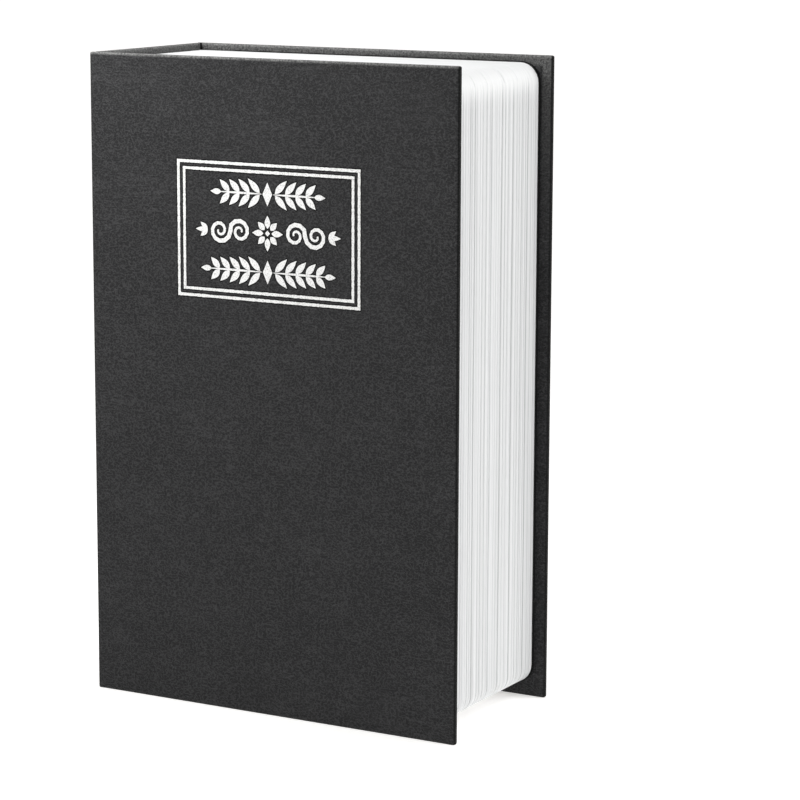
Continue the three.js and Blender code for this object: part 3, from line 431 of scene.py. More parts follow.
stations = sheet_stations()
sheet_rings = [
    sheet_ring(stations, z, inset, corner_cut(z, front_high.z)) for z, inset in sheet_levels(front_high.z)
]
ring_size = len(sheet_rings[0])
sheet_points = [point for ring in sheet_rings for point in ring]
sheet_faces = skin_faces(len(sheet_rings), ring_size)
for base in (0, (len(sheet_rings) - 1) * ring_size):
    for k in range(len(stations) - 1):
        sheet_faces.append((base + k, base + k + 1, base + ring_size - 2 - k, base + ring_size - 1 - k))
sheet = mesh_piece("covering_sheet", sheet_points, sheet_faces, covering, 60)
keep_rest_place(sheet)
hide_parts("cover_paper_front", "cover_paper_spine", "cover_paper_back")
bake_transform(sheet)


# The title place is stamped in white foil: a double rule, as bookbinders tool it, round three rows of plain
# binder's ornament in place of a title. The foil's edges are slightly rough. Under each mark lies a slightly
# wider near black rim, a painted shadow of its pressed edge.
TITLE_FROM_SPINE = 28.4
TITLE_BELOW_HEAD = 27.9
TITLE_WIDTH = 57.5
TITLE_HEIGHT = 37.3
RULE = 0.85
RULE_GAP = 1.0
FOIL = 0.03
SHADOW_RIM_LIFT = 0.012
SHADOW_RIM_WIDTH = 0.3
FOIL_WHITE = (224, 224, 223)
FOIL_WORN = (172, 172, 171)
LAUREL_ROW = 10.5
LAUREL_PITCH = 3.2
LAUREL_LEAF = 5.2
LAUREL_WIDTH = 1.85
LAUREL_LEAN = 45
LAUREL_START = 2.4
LAUREL_STEM = 0.6
TIP_LEAF = (3.4, 1.6)
LOZENGE = (1.5, 3.2)
ROSETTE_LEAVES = 8
ROSETTE_START = 1.3
ROSETTE_LENGTHS = (3.5, 2.9)
ROSETTE_WIDTH = 1.75
ROSETTE_HEART = 0.8
SCROLL_STEPS = 18
SCROLL_START = 5.6
SCROLL_END = 18.2
SCROLL_LINE = 1.3
SCROLL_THINNING = 0.75
SCROLL_HALF_TURNS = 3.1
TAIL_START = 19.0
TAIL_LEAVES = ((-40, 3.0), (0, 3.8), (40, 3.0))
TAIL_WIDTH = 1.4
FOIL_SHADOW_BLACK = (9, 9, 9)
FOIL_SHADOW_LOW = (4, 4, 4)
FOIL_SHADOW_HIGH = (16, 16, 16)

foil, shader, place = new_finish("white_foil", FOIL_WHITE, 0.45)
speckle = ramp(clouds(place, 0.4, 3, 0.7), (0.34, 0), (0.5, 1))
vary(shader, mix(speckle, FOIL_WORN, FOIL_WHITE), normal=relief(clouds(place, 0.4, 2), 0.03))

title_left = front_low.x + TITLE_FROM_SPINE
title_top = front_high.z - TITLE_BELOW_HEAD
title_middle = Vector((title_left + TITLE_WIDTH / 2, title_top - TITLE_HEIGHT / 2))
rough = random.Random(11)


def stroke(line, widths):
    """The outline of a tooled line: the points of its two sides, a pair across each point of the line."""
    left_side, right_side = [], []
    for k, point in enumerate(line):
        before = Vector(line[max(0, k - 1)])
        after = Vector(line[min(len(line) - 1, k + 1)])
        along = (after - before).normalized()
        across = Vector((-along.y, along.x)) * (widths[k] / 2)
        left_side.append(Vector(point) + across)
        right_side.append(Vector(point) - across)
    return left_side, right_side


def foil_bars(strips, y, lift=FOIL):
    """Thin solid strips on a plane parallel to the cover: each is a pair of sides of equal length. Their
    thickness varies a little, so that no two overlap in one plane."""
    points, faces = [], []
    for layer, (left_side, right_side) in enumerate(strips):
        count = len(left_side)
        base = len(points)
        for depth in (y, y - lift * (1 + layer % 8 / 16)):
            points += [(p.x, depth, p.y) for p in left_side]
            points += [(p.x, depth, p.y) for p in right_side]
        lower, upper = base, base + 2 * count
        for k in range(count - 1):
            for start in (lower, upper):
                faces.append((start + k, start + k + 1, start + count + k + 1, start + count + k))
            for side in (0, count):
                a = lower + side + k
                b = upper + side + k
                faces.append((a, a + 1, b + 1, b))
        for k in (0, count - 1):
            faces.append((lower + k, lower + count + k, upper + count + k, upper + k))
    return points, faces


def ruled(start, end, width):
    """A straight rule with slightly rough sides."""
    count = max(3, round((Vector(end) - Vector(start)).length / 0.5))
    line = [Vector(start).lerp(Vector(end), k / count) for k in range(count + 1)]
    return stroke(line, [width * rough.uniform(0.8, 1.08) for _ in line])


def ruled_frame(inset):
    """Four rules that meet at the corners of the title place."""
    half_x = TITLE_WIDTH / 2 - inset - RULE / 2
    half_z = TITLE_HEIGHT / 2 - inset - RULE / 2
    reach = RULE / 2
    strips = []
    for side in (-1, 1):
        x, z = side * half_x, side * half_z
        for start, end in (
            ((-half_x - reach, z), (half_x + reach, z)),
            ((x, reach - half_z), (x, half_z - reach)),
        ):
            strips.append(ruled(title_middle + Vector(start), title_middle + Vector(end), RULE))
    return strips


def lozenge(center, half_width, half_height):
    """A diamond, drawn as a level line that is widest in its middle."""
    line = [center + Vector((half_width * t, 0)) for t in (-1, -0.5, 0, 0.5, 1)]
    return stroke(line, [0.02, half_height, 2 * half_height, half_height, 0.02])


def tapered(start, end, width):
    """A straight line that is thin at both ends."""
    line = [Vector(start).lerp(Vector(end), k / 8) for k in range(9)]
    return stroke(line, [width * (0.12 + 0.88 * math.sin(math.pi * (k + 0.5) / 9)) for k in range(9)])


def petal(root, angle, length, width):
    """A leaf that starts at its root and lies at an angle."""
    along = Vector((math.cos(angle), math.sin(angle)))
    line = [root + along * (length * k / 8) for k in range(9)]
    return stroke(line, [max(0.05, width * math.sin(math.pi * (k / 8) ** 0.8)) for k in range(9)])


def double_scroll(start, end, side):
    """An S of two spirals that meet on a level line, thin at both ends."""
    line, widths = [], []
    reach = (end - start) / 4
    for step in range(-SCROLL_STEPS, SCROLL_STEPS + 1):
        t = abs(step) / SCROLL_STEPS
        radius = reach * (1.06 - 0.9 * t)
        angle = t * SCROLL_HALF_TURNS * math.pi
        center = end - reach
        if step < 0:
            center = start + reach
        else:
            radius = -radius
        line.append(Vector((side * (center + radius * math.cos(angle)), radius * math.sin(angle))))
        widths.append(SCROLL_LINE - SCROLL_THINNING * t)
    return line, widths


def laurel(center, start, pairs, side):
    """A straight stem with pairs of leaves that lean outwards, and a leaf at its tip."""
    end = start + pairs * LAUREL_PITCH
    stem = [center + Vector((side * x, 0)) for x in (start - 0.6, end + 0.4)]
    strips = [tapered(*stem, LAUREL_STEM)]
    for k in range(pairs):
        for upright in (-1, 1):
            root = center + Vector((side * (start + k * LAUREL_PITCH), upright * 0.25))
            lean = upright * math.radians(LAUREL_LEAN)
            angle = lean if side > 0 else math.pi - lean
            strips.append(petal(root, angle, LAUREL_LEAF * (1 - 0.06 * k), LAUREL_WIDTH))
    tip = center + Vector((side * (end - 0.6), 0))
    strips.append(petal(tip, 0 if side > 0 else math.pi, *TIP_LEAF))
    return strips


ornament = []
for row, pairs in ((LAUREL_ROW, 4), (-LAUREL_ROW, 5)):
    center = title_middle + Vector((0, row))
    ornament.append(lozenge(center, *LOZENGE))
    for side in (-1, 1):
        ornament += laurel(center, LAUREL_START, pairs, side)
for k in range(ROSETTE_LEAVES):
    angle = k * 2 * math.pi / ROSETTE_LEAVES
    root = title_middle + Vector((math.cos(angle), math.sin(angle))) * ROSETTE_START
    ornament.append(petal(root, angle, ROSETTE_LENGTHS[k % 2], ROSETTE_WIDTH))
ornament.append(lozenge(title_middle, ROSETTE_HEART, ROSETTE_HEART))
for side in (-1, 1):
    line, widths = double_scroll(SCROLL_START, SCROLL_END, side)
    ornament.append(stroke([title_middle + point for point in line], widths))
    tail = title_middle + Vector((side * TAIL_START, 0))
    for lean, length in TAIL_LEAVES:
        angle = math.radians(lean) if side > 0 else math.pi - math.radians(lean)
        ornament.append(petal(tail, angle, length, TAIL_WIDTH))


def widened(strips, edge):
    """The same strips grown by an edge on every side."""
    grown = []
    for left_side, right_side in strips:
        across = [(a - b).normalized() * edge for a, b in zip(left_side, right_side)]
        wide = [[a + c for a, c in zip(left_side, across)], [b - c for b, c in zip(right_side, across)]]
        middles = [(a + b) / 2 for a, b in zip(left_side, right_side)]
        for side in wide:
            for end, before in ((0, 1), (-1, -2)):
                side[end] = side[end] + (middles[end] - middles[before]).normalized() * edge
        grown.append(tuple(wide))
    return grown


# Painted shadow: a near black rim, a little wider than each foil mark, laid just under it.
foil_shadow, shader, place = new_finish("foil_shadow_edge", FOIL_SHADOW_BLACK, 0.6, Specular_IOR_Level=0.1)
vary(shader, mix(clouds(place, 0.5, 2), FOIL_SHADOW_LOW, FOIL_SHADOW_HIGH))
for name, strips in (
    ("title_rules", ruled_frame(0) + ruled_frame(RULE + RULE_GAP)),
    ("title_ornament", ornament),
):
    for suffix, lines, lift, finish in (
        ("", strips, FOIL, foil),
        ("_shadow_rim", widened(strips, SHADOW_RIM_WIDTH), SHADOW_RIM_LIFT, foil_shadow),
    ):
        points, faces = foil_bars(lines, front_low.y, lift)
        stamped = mesh_piece(name + suffix, points, faces, finish)
        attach(stamped, "front_cover")


# The end papers are dark grained sheets pasted down inside both covers, over the turned-in edges. In the
# front joint, strips of the same paper cover the edges of the spine board and the front board.
LINER_LOW = (27, 27, 28)
LINER_HIGH = (74, 74, 75)
GLUED_SHEET = 0.25
STRIP_LIFT = 0.01
STRIP_TOP = 0.12
WRAP_FROM_END = 0.6
WRAP_FROM_FACE = 0.5
WRAP_LIFT = (0.02, 0.03)
WRAP_TOP = (0.15, 0.18)
WRAP_REACH = 0.8

end_paper, shader, place = new_finish("end_paper", LINER_LOW, 0.6, Specular_IOR_Level=0.12)
vary(shader, grained(shader, place, LINER_LOW, LINER_HIGH))
dress(end_paper, "front_liner", "back_liner")


def boxes(spans):
    """Points and faces of boxes, each from its (low, high) in x, y and z."""
    points, faces = [], []
    for (x0, x1), (y0, y1), ends in spans:
        faces += shifted([(0, 1, 2, 3), (4, 5, 6, 7)] + skin_faces(2, 4), len(points))
        points += [(x, y, z) for z in ends for x, y in ((x0, y0), (x1, y0), (x1, y1), (x0, y1))]
    return points, faces


strip_x = (spine_low.x + GLUED_SHEET, spine_high.x)
strip_y = (spine_low.y - STRIP_TOP, spine_low.y - STRIP_LIFT)
strip_z = (GLUED_SHEET, front_high.z - GLUED_SHEET)
strip = mesh_piece("joint_paper", *boxes([(strip_x, strip_y, strip_z)]), end_paper)
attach(strip, "root")
board_edge = front_low.x + GLUED_SHEET
board_inside = front_high.y - GLUED_SHEET
wrap_z = (WRAP_FROM_END, front_high.z - WRAP_FROM_END)
edge_x = (board_edge - WRAP_TOP[0], board_edge - WRAP_LIFT[0])
edge_y = (front_low.y + WRAP_FROM_FACE, board_inside + WRAP_TOP[1])
inside_x = (board_edge - WRAP_LIFT[0], board_edge + WRAP_REACH)
inside_y = (board_inside + WRAP_LIFT[1], board_inside + WRAP_TOP[1])
wrap_spans = [(edge_x, edge_y, wrap_z), (inside_x, inside_y, wrap_z)]
wrap = mesh_piece("board_edge_paper", *boxes(wrap_spans), end_paper)
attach(wrap, "front_cover")


# The pages are one white moulding. Its fore-edge, head and tail carry fine lines at an uneven pitch, like
# the leaves and gatherings of a book, with a deeper line every few leaves. Its head is painted whiter where
# the lines fade, a painted highlight. Its back edge is painted black and a near black bead runs round it: a
# painted contact shadow against the back cover.
PAGE_CORNER = 5.5
PAGE_RELIEF = 0.8
OUTER_SKIN = 0.5
FRONT_ROUND = 0.5
GATHERING = 7.6
BACK_ROUND = 0.2
LEAF_WANDER = 0.2
GROOVE_DEEPEST = 0.46
HEAD_SHARE = 0.05
FADE_START = 3.2
LINE_FADE = 6.2
HEAD_HIGHLIGHT_WHITE = (251, 252, 252)
PAGE_WHITE = (234, 235, 236)
PAGE_SHADE = (220, 221, 222)
GROOVE_SHADE = (150, 151, 152)
CONTACT_SHADOW_BLACK = (10, 10, 10)
CONTACT_SHADOW_LOW = (4, 4, 4)
CONTACT_SHADOW_HIGH = (14, 14, 14)
FIRST_LEAF = 1.3
LAST_LEAF = 0.9
LEAF_PITCH = (0.8, 2.1)
LEAF_DEPTH = (0.1, 0.32)
LEAF_HALF = (0.22, 0.36)
GROOVE_SHALLOWEST = 0.38
GROOVE_HALF = (0.4, 0.5)
HEIGHT_STEP = 9
WIDTH_STEP = 11
BEAD_STEP = 12
CORNER_STEPS = 12
BEAD = ((-1.0, 0.06), (-0.05, 0.08), (0.12, 0.3), (0.2, 0.55), (0.24, 0.83), (-1.0, 0.83))

page_low, page_high = corners("page_frame")
back_edge = page_high.y - PAGE_RELIEF
leaves = random.Random(5)


def leaf_lines():
    """The lines on the pages as (place in the thickness, depth, half width)."""
    lines = []
    y = page_low.y + FIRST_LEAF
    next_gathering = page_low.y + GATHERING / 2
    while y < back_edge - LAST_LEAF:
        if y > next_gathering:
            depth = leaves.uniform(GROOVE_SHALLOWEST, GROOVE_DEEPEST)
            lines.append((y, depth, leaves.uniform(*GROOVE_HALF)))
            next_gathering += GATHERING * leaves.uniform(0.75, 1.25)
        else:
            lines.append((y, leaves.uniform(*LEAF_DEPTH), leaves.uniform(*LEAF_HALF)))
        y += leaves.uniform(*LEAF_PITCH)
    return lines


def page_inset(x, z):
    """How far a point lies inside the block's outline of flat sides and rounded fore-edge corners, and the
    direction inwards."""
    right = page_high.x
    corner_x = right - PAGE_CORNER
    for corner_z, upright in ((page_low.z + PAGE_CORNER, -1), (page_high.z - PAGE_CORNER, 1)):
        if x > corner_x and (z - corner_z) * upright > 0:
            away = Vector((x - corner_x, z - corner_z))
            return PAGE_CORNER - away.length, -away.normalized()
    sides = (
        (right - x, Vector((-1, 0))),
        (z - page_low.z, Vector((0, 1))),
        (page_high.z - z, Vector((0, -1))),
    )
    return min(sides, key=lambda side: side[0])


def leaf_share(x, z):
    """How strongly the lines show: fully on the fore-edge and tail, and fading into the rounded head."""
    if x < page_high.x - PAGE_CORNER and z > page_high.z - PAGE_CORNER:
        return HEAD_SHARE
    from_end = page_high.z - FADE_START - z
    return HEAD_SHARE + (1 - HEAD_SHARE) * min(1, max(0, from_end / LINE_FADE)) ** 1.2


def groove_depth(lines, y):
    """How deep the lines between the leaves are at a place in the thickness."""
    return sum(depth * max(0, 1 - abs(y - line_y) / half) for line_y, depth, half in lines)


def leaf_depth(lines, y, share):
    """The depth of the moulded surface at a place in the thickness."""
    depth = 0.05 + share * (0.05 * noise.noise(Vector((0, y * 0.6, 0))) + groove_depth(lines, y))
    for from_edge, edge_round in ((y - page_low.y, FRONT_ROUND), (back_edge - y, BACK_ROUND)):
        if from_edge < edge_round:
            left = edge_round - max(0, from_edge)
            depth = edge_round - math.sqrt(edge_round**2 - left**2)
    return depth


def page_block():
    """The CAD moulding with its outer sides cut into leaves."""
    lines = leaf_lines()
    block = bmesh.new()
    block.from_mesh(nodes["page_frame"].data)
    bmesh.ops.scale(block, vec=(1 / MM, 1 / MM, 1 / MM), verts=block.verts)
    bmesh.ops.remove_doubles(block, verts=block.verts, dist=0.001)
    bmesh.ops.dissolve_limit(block, angle_limit=0.001, verts=block.verts, edges=block.edges)
    levels = [page_low.y + FRONT_ROUND * k / 4 for k in range(1, 5)]
    levels += [back_edge - BACK_ROUND * k / 3 for k in range(1, 4)]
    for y, _, half in lines:
        levels += [y - half, y - half / 2, y, y + half / 2, y + half]
    outer = [f for f in block.faces if all(page_inset(v.co.x, v.co.z)[0] < 2 * OUTER_SKIN for v in f.verts)]
    cuts = [((0, y, 0), (0, 1, 0)) for y in levels]
    low_z, high_z = page_low.z + PAGE_CORNER, page_high.z - PAGE_CORNER
    fades = [high_z - LINE_FADE * k / 4 for k in range(1, 5)]
    cuts += [((0, 0, z), (0, 0, 1)) for z in even_steps(low_z, high_z - LINE_FADE, HEIGHT_STEP) + fades]
    cuts += [((x, 0, 0), (1, 0, 0)) for x in even_steps(page_low.x, page_high.x - PAGE_CORNER, WIDTH_STEP)]
    geometry = outer + list({e for f in outer for e in f.edges}) + list({v for f in outer for v in f.verts})
    for at, across in cuts:
        cut_made = bmesh.ops.bisect_plane(block, geom=geometry, plane_co=at, plane_no=across, dist=0.0001)
        geometry = cut_made["geom"]
    groove = block.verts.layers.float.new("groove")
    leaf = block.verts.layers.float.new("leaf")
    for v in block.verts:
        inset, inwards = page_inset(v.co.x, v.co.z)
        if inset < OUTER_SKIN:
            y = v.co.y
            v[leaf] = leaf_share(v.co.x, v.co.z)
            v[groove] = groove_depth(lines, y) / GROOVE_DEEPEST * v[leaf]
            move = inwards * (leaf_depth(lines, y, v[leaf]) - inset)
            edge = max(0, min(1, (y - page_low.y) / 2, (back_edge - y) / 2))
            wander = LEAF_WANDER * edge * noise.noise(Vector((v.co.x * 0.02, y * 0.35, v.co.z * 0.02)))
            v.co += Vector((move.x, wander, move.y))
        else:
            v[leaf] = 1
    bmesh.ops.scale(block, vec=(MM, MM, MM), verts=block.verts)
    mesh = bpy.data.meshes.new("page_block")
    block.to_mesh(mesh)
    block.free()
    return mesh


white, shader, place = new_finish("white_moulding", PAGE_WHITE, 0.5)
leaf = clouds(stretch(place, 0.006, 1, 0.006), 0.7, 3, 0.6)
shown = place.node("ShaderNodeAttribute", {"attribute_name": "leaf"}, None, 2)
tone = ramp(leaf, (0.4, 1), (0.6, 0)) * shown
groove = place.node("ShaderNodeAttribute", {"attribute_name": "groove"}, None, 2)
# Painted highlight: where the lines fade into the head, which faces the light above, the moulding is painted
# whiter.
leaf_white = mix(shown, HEAD_HIGHLIGHT_WHITE, PAGE_WHITE)
color = mix(groove, mix(tone, leaf_white, PAGE_SHADE), GROOVE_SHADE)
# Painted contact shadow: the faces at the block's back edge are painted black.
back_shadow = ramp((coordinate(place, 1) - (back_edge - 0.04)) * 20, (0, 0), (1, 1))
vary(shader, mix(back_shadow, color, CONTACT_SHADOW_BLACK), normal=relief(leaf, 0.05))
pages = placed("page_block", page_block(), white, 40)
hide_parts("page_frame")
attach(pages, "root")

# The bead's finish is near black: painted contact shadow.
contact_shadow, shader, place = new_finish("contact_shadow", CONTACT_SHADOW_BLACK, 0.55, Specular_IOR_Level=0.2)
vary(shader, mix(clouds(place, 1.5, 3), CONTACT_SHADOW_LOW, CONTACT_SHADOW_HIGH))


def block_outline(out):
    """Points round the head, fore-edge and tail of the block in plan, at a distance outside it."""
    left, right = page_low.x, page_high.x - PAGE_CORNER
    outline = [(x, page_high.z + out) for x in even_steps(left, right, BEAD_STEP)]
    reach = PAGE_CORNER + out
    for corner_z, start in ((page_high.z - PAGE_CORNER, 90), (page_low.z + PAGE_CORNER, 0)):
        for k in range(CORNER_STEPS + 1):
            turn = math.radians(start - 90 * k / CORNER_STEPS)
            outline.append((right + reach * math.cos(turn), corner_z + reach * math.sin(turn)))
    return outline + [(x, page_low.z - out) for x in even_steps(right, left, BEAD_STEP)]


# A near black bead round the block's back edge, against the back cover: painted contact shadow.
bead_points = []
for out, y in BEAD:
    bead_points += [(x, back_edge + y, z) for x, z in block_outline(out)]
around = len(bead_points) // len(BEAD)
bead_faces = [tuple(k * around + end for k in range(len(BEAD))) for end in (0, around - 1)]
bead_faces += skin_faces(len(BEAD), around, close_rows=True, close_columns=False)
contact_shadow_bead = mesh_piece("page_contact_shadow", bead_points, bead_faces, contact_shadow)
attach(contact_shadow_bead, "root")


# The strongbox and its lid are folded and pressed from steel sheet and coated in a grey textured paint. The
# paint lies smooth and thin on the pressed slopes round the lock and on the lid's rolled edge.
PLATFORM_SLOPE = 6.3
ROLL_WIDTH = 3.6
PAINT_DARK = (76, 78, 72)
PAINT_GLINT_GREY = (128, 130, 122)
PEBBLES_PER_MM = 1.8
PEBBLE_DEPTH = 0.42
CLIP_TO_SLOPE = 0.3

lid_low, lid_high = corners("lid_panel")
clip_low, clip_high = corners("lock_clip")


def textured_paint(name, smooth=None):
    """Grey paint with a pebbled skin whose tops are painted lighter, a painted glint. smooth tells from a
    place where the skin is smooth, from 0 to 1.
    """
    material, shader, place = new_finish(name, PAINT_GLINT_GREY, 0.32)
    cells = place.node("ShaderNodeTexVoronoi", None, {"Vector": place, "Scale": PEBBLES_PER_MM})
    pebbles = ramp(cells, (0.1, 1), (0.6, 0)) * 0.75 + clouds(place, 0.45, 2) * 0.35
    if smooth:
        pebbles = pebbles * (1 - smooth(place))
    # Painted glint: the pebble tops are painted lighter.
    glint_tops = ramp(pebbles, (0.25, 0), (0.95, 1))
    vary(shader, mix(glint_tops, PAINT_DARK, PAINT_GLINT_GREY), 0.42 - 0.16 * pebbles, relief(pebbles, PEBBLE_DEPTH))
    return material


def smooth_places(place):
    """The pressed slopes round the lock, and the rolled edge."""
    x, z = (coordinate(place, axis) for axis in (0, 2))
    middle = (clip_low + clip_high) / 2
    half = (clip_high - clip_low) / 2
    out_x = abs(x - middle.x) - (half.x + CLIP_TO_SLOPE)
    out_z = abs(z - middle.z) - (half.z + CLIP_TO_SLOPE)
    out = out_x.math("MAXIMUM", out_z)
    slope = ramp(out / PLATFORM_SLOPE, (0, 1), (0.98, 1), (1, 0))
    edge = (lid_high.x - x).math("MINIMUM", z - lid_low.z).math("MINIMUM", lid_high.z - z)
    roll = ramp(edge / ROLL_WIDTH, (0, 1), (0.96, 1), (1, 0))
    return slope.math("MAXIMUM", roll)


dress(textured_paint("strongbox_paint"), "tray")
dress(textured_paint("lid_paint", smooth_places), "lid_panel")


# Zinc-plated steel with faint streaks: the rivets that hold the strongbox down, the strike bracket, the
# hinge's pin, and the lock's clip, screws, shaft, spring, fence, spindle and latch.
ZINC = (176, 178, 176)
ZINC_DARK = (150, 153, 152)
ZINC_PALE = (196, 197, 192)

zinc, shader, place = new_finish("zinc_plate", ZINC, 0.36, Metallic=1.0)
streaks = clouds(stretch(place, 0.4, 3, 3), 0.5, 3, 0.6)
vary(shader, mix(streaks, ZINC_DARK, ZINC_PALE), 0.26 + 0.2 * streaks, relief(streaks, 0.02))
dress(zinc, *(f"tray_rivet_{k}" for k in range(1, 7)), *(f"lock_screw_{k}" for k in range(1, 5)))
dress(zinc, "strike_bracket", "hinge_pin", "lock_clip", "wheel_shaft", "detent_spring", "fence_bar")
dress(zinc, "knob_spindle", "latch_arm", "latch_washer", "latch_nut")


# The lock's housing, face plate, back cover and number wheels are moulded in black plastic with a very fine
# spark texture. The face plate lies in the housing's bezel, and the back cover is screwed on.
PLASTIC = (16, 16, 17)
PLASTIC_LOW = (12, 12, 13)
PLASTIC_HIGH = (20, 20, 21)

black, shader, place = new_finish("black_plastic", PLASTIC, 0.45, Specular_IOR_Level=0.22)
spark = clouds(place, 0.18, 2)
vary(shader, mix(spark, PLASTIC_LOW, PLASTIC_HIGH), 0.38 + 0.16 * spark, relief(spark, 0.015))
wheels = [f"number_wheel_{k}" for k in range(1, 4)]
dress(black, "lock_case", "lock_panel", "lock_back_cover", *wheels)


# The line round the lock's face is a thin half-round metal strip in warm gold. It lies in the housing, where
# the bezel meets the face plate.
TRIM_WIDTH = 0.9
TRIM_CORNER = 1.4
TRIM_FILL = 0.98
TRIM_CROWN = 0.6
TRIM_STEPS = 8
TRIM_CORNER_STEPS = 6
GOLD = (206, 150, 66)
GOLD_DARK = (196, 140, 62)
GOLD_PALE = (226, 180, 100)

gold, shader, place = new_finish("gold_line", GOLD, 0.3, Metallic=1.0)
rub = clouds(place, 1.2, 3, 0.6)
vary(shader, mix(rub, GOLD_DARK, GOLD_PALE), 0.24 + 0.18 * rub)
trim_low, trim_high = corners("lock_trim")
trim_half = (trim_high - trim_low) / 2
trim_middle = (trim_low + trim_high) / 2
trim_reach_x = trim_half.x - TRIM_CORNER
trim_reach_z = trim_half.z - TRIM_CORNER
line_profile = [(-TRIM_FILL, 1)]
for k in range(TRIM_STEPS + 1):
    turn = math.pi * k / TRIM_STEPS
    line_profile.append((-TRIM_FILL * math.cos(turn), -math.sin(turn) * TRIM_CROWN - (1 - TRIM_CROWN)))
line_profile.append((TRIM_FILL, 1))
line_points = []
for across, rise in line_profile:
    corner = TRIM_CORNER + across * TRIM_WIDTH / 2 - TRIM_WIDTH / 2
    y = trim_middle.y + rise * trim_half.y
    for side_x, side_z, start in ((1, 1, 0), (-1, 1, 90), (-1, -1, 180), (1, -1, 270)):
        for k in range(TRIM_CORNER_STEPS + 1):
            turn = math.radians(start + 90 * k / TRIM_CORNER_STEPS)
            x = trim_middle.x + side_x * trim_reach_x + corner * math.cos(turn)
            z = trim_middle.z + side_z * trim_reach_z + corner * math.sin(turn)
            line_points.append((x, y, z))
line_faces = skin_faces(len(line_profile), len(line_points) // len(line_profile), close_rows=True)
gold_line = mesh_piece("gold_line", line_points, line_faces, gold, 50)
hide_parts("lock_trim")
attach(gold_line, "lid")


# The gate rings on the number wheels are turned in brass, and the reset lever behind the lock is stamped from
# the same brass.
BRASS = (190, 158, 88)
BRASS_DARK = (170, 136, 70)
BRASS_PALE = (206, 178, 108)

brass, shader, place = new_finish("brass", BRASS, 0.34, Metallic=1.0)
turning = clouds(stretch(place, 0.3, 0.3, 6), 0.4, 3)
vary(shader, mix(turning, BRASS_DARK, BRASS_PALE), 0.28 + 0.2 * turning)
dress(brass, "gate_ring_1", "gate_ring_2", "gate_ring_3", "reset_lever")


# Each number wheel has the numbers 0 to 9 round it in white, upright along its axis, with 0 at the window.
# A tab beside each wheel leans over its next number and bears a white mark.
NUMBER_WIDTH = 2.45
NUMBER_HEIGHT = 3.7
NUMBER_LINE = 0.52
NUMBER_PROUD = 0.04
NUMBER_SINK = 0.1
NUMBER_WHITE = (238, 238, 236)
NUMBER_WORN = (214, 214, 212)
NUMBER_BRIGHT = (244, 244, 242)
DIGITS = 10
STROKE_STEP = 0.5
MARK_LENGTH = 2.6
MARK_WIDTH = 0.62
MARK_FROM_EDGE = 0.6
MARK_SINK = 0.005
MARK_STEPS = 4
TAB_START = 2.15
TAB_END = 5.65
TAB_HALF_HEIGHT = 2.15
TAB_TO_WHEEL = 0.12
TAB_TO_PANEL = 0.12
TAB_LIP = 0.2
TAB_HOLLOW = 1.4
TAB_STEPS = 6

number_white, shader, place = new_finish("number_white", NUMBER_WHITE, 0.5)
vary(shader, mix(clouds(place, 0.3, 2), NUMBER_WORN, NUMBER_BRIGHT))


def arc_points(center, radius_x, radius_z, start, end, count=10):
    """Points of an arc between two angles in degrees, in plan."""
    turns = [math.radians(start + (end - start) * k / count) for k in range(count + 1)]
    return [Vector((center[0] + radius_x * math.cos(t), center[1] + radius_z * math.sin(t))) for t in turns]


def number_lines(number):
    """The lines of a number in a box from -1 to 1 each way."""
    straight = {
        1: [[(-0.5, 0.55), (0.1, 1), (0.1, -1)]],
        4: [[(0.45, -1), (0.45, 1), (-0.9, -0.4), (0.95, -0.4)]],
        7: [[(-0.85, 1), (0.85, 1), (-0.2, -1)]],
    }
    if number in straight:
        return [[Vector(point) for point in line] for line in straight[number]]
    if number == 0:
        ring = []
        for x, z, start in ((0.4, 0.6, 0), (-0.4, 0.6, 90), (-0.4, -0.6, 180), (0.4, -0.6, 270)):
            ring += arc_points((x, z), 0.45, 0.4, start, start + 90, 4)
        return [ring + ring[:2]]
    upper, lower = (0, 0.5), (0, -0.45)
    flag = [Vector(point) for point in ((0.8, 1), (-0.7, 1), (-0.8, 0.1))]
    hook = arc_points((-0.1, -0.35), 0.95, 0.65, -120, 0, 6)
    curved = {
        2: [arc_points(upper, 0.85, 0.5, 170, -35) + [Vector((-0.9, -1)), Vector((0.95, -1))]],
        3: [arc_points(upper, 0.8, 0.5, 150, -90) + arc_points(lower, 0.9, 0.55, 90, -150)],
        5: [flag + arc_points((0, -0.35), 0.88, 0.62, 130, -150)],
        6: [arc_points((0.1, 0.35), 0.95, 0.65, 60, 180, 6) + arc_points(lower, 0.85, 0.55, 180, 540, 14)],
        8: [arc_points(upper, 0.75, 0.5, -90, 270, 14) + arc_points(lower, 0.9, 0.55, 90, -270, 14)],
        9: [hook + arc_points((0, 0.45), 0.85, 0.55, 0, 360, 14)],
    }
    return curved[number]


def number_strips(number):
    """A number's painted lines at their size, with points close enough to bend round the wheel."""
    half = Vector(((NUMBER_WIDTH - NUMBER_LINE) / 2, (NUMBER_HEIGHT - NUMBER_LINE) / 2))
    strips = []
    for line in number_lines(number):
        sized = [Vector((p.x * half.x, p.y * half.y)) for p in line]
        dense = []
        for a, b in zip(sized, sized[1:]):
            steps = max(1, round((b - a).length / STROKE_STEP))
            dense += [a.lerp(b, k / steps) for k in range(steps)]
        dense.append(sized[-1])
        strips.append(stroke(dense, [NUMBER_LINE] * len(dense)))
    return strips


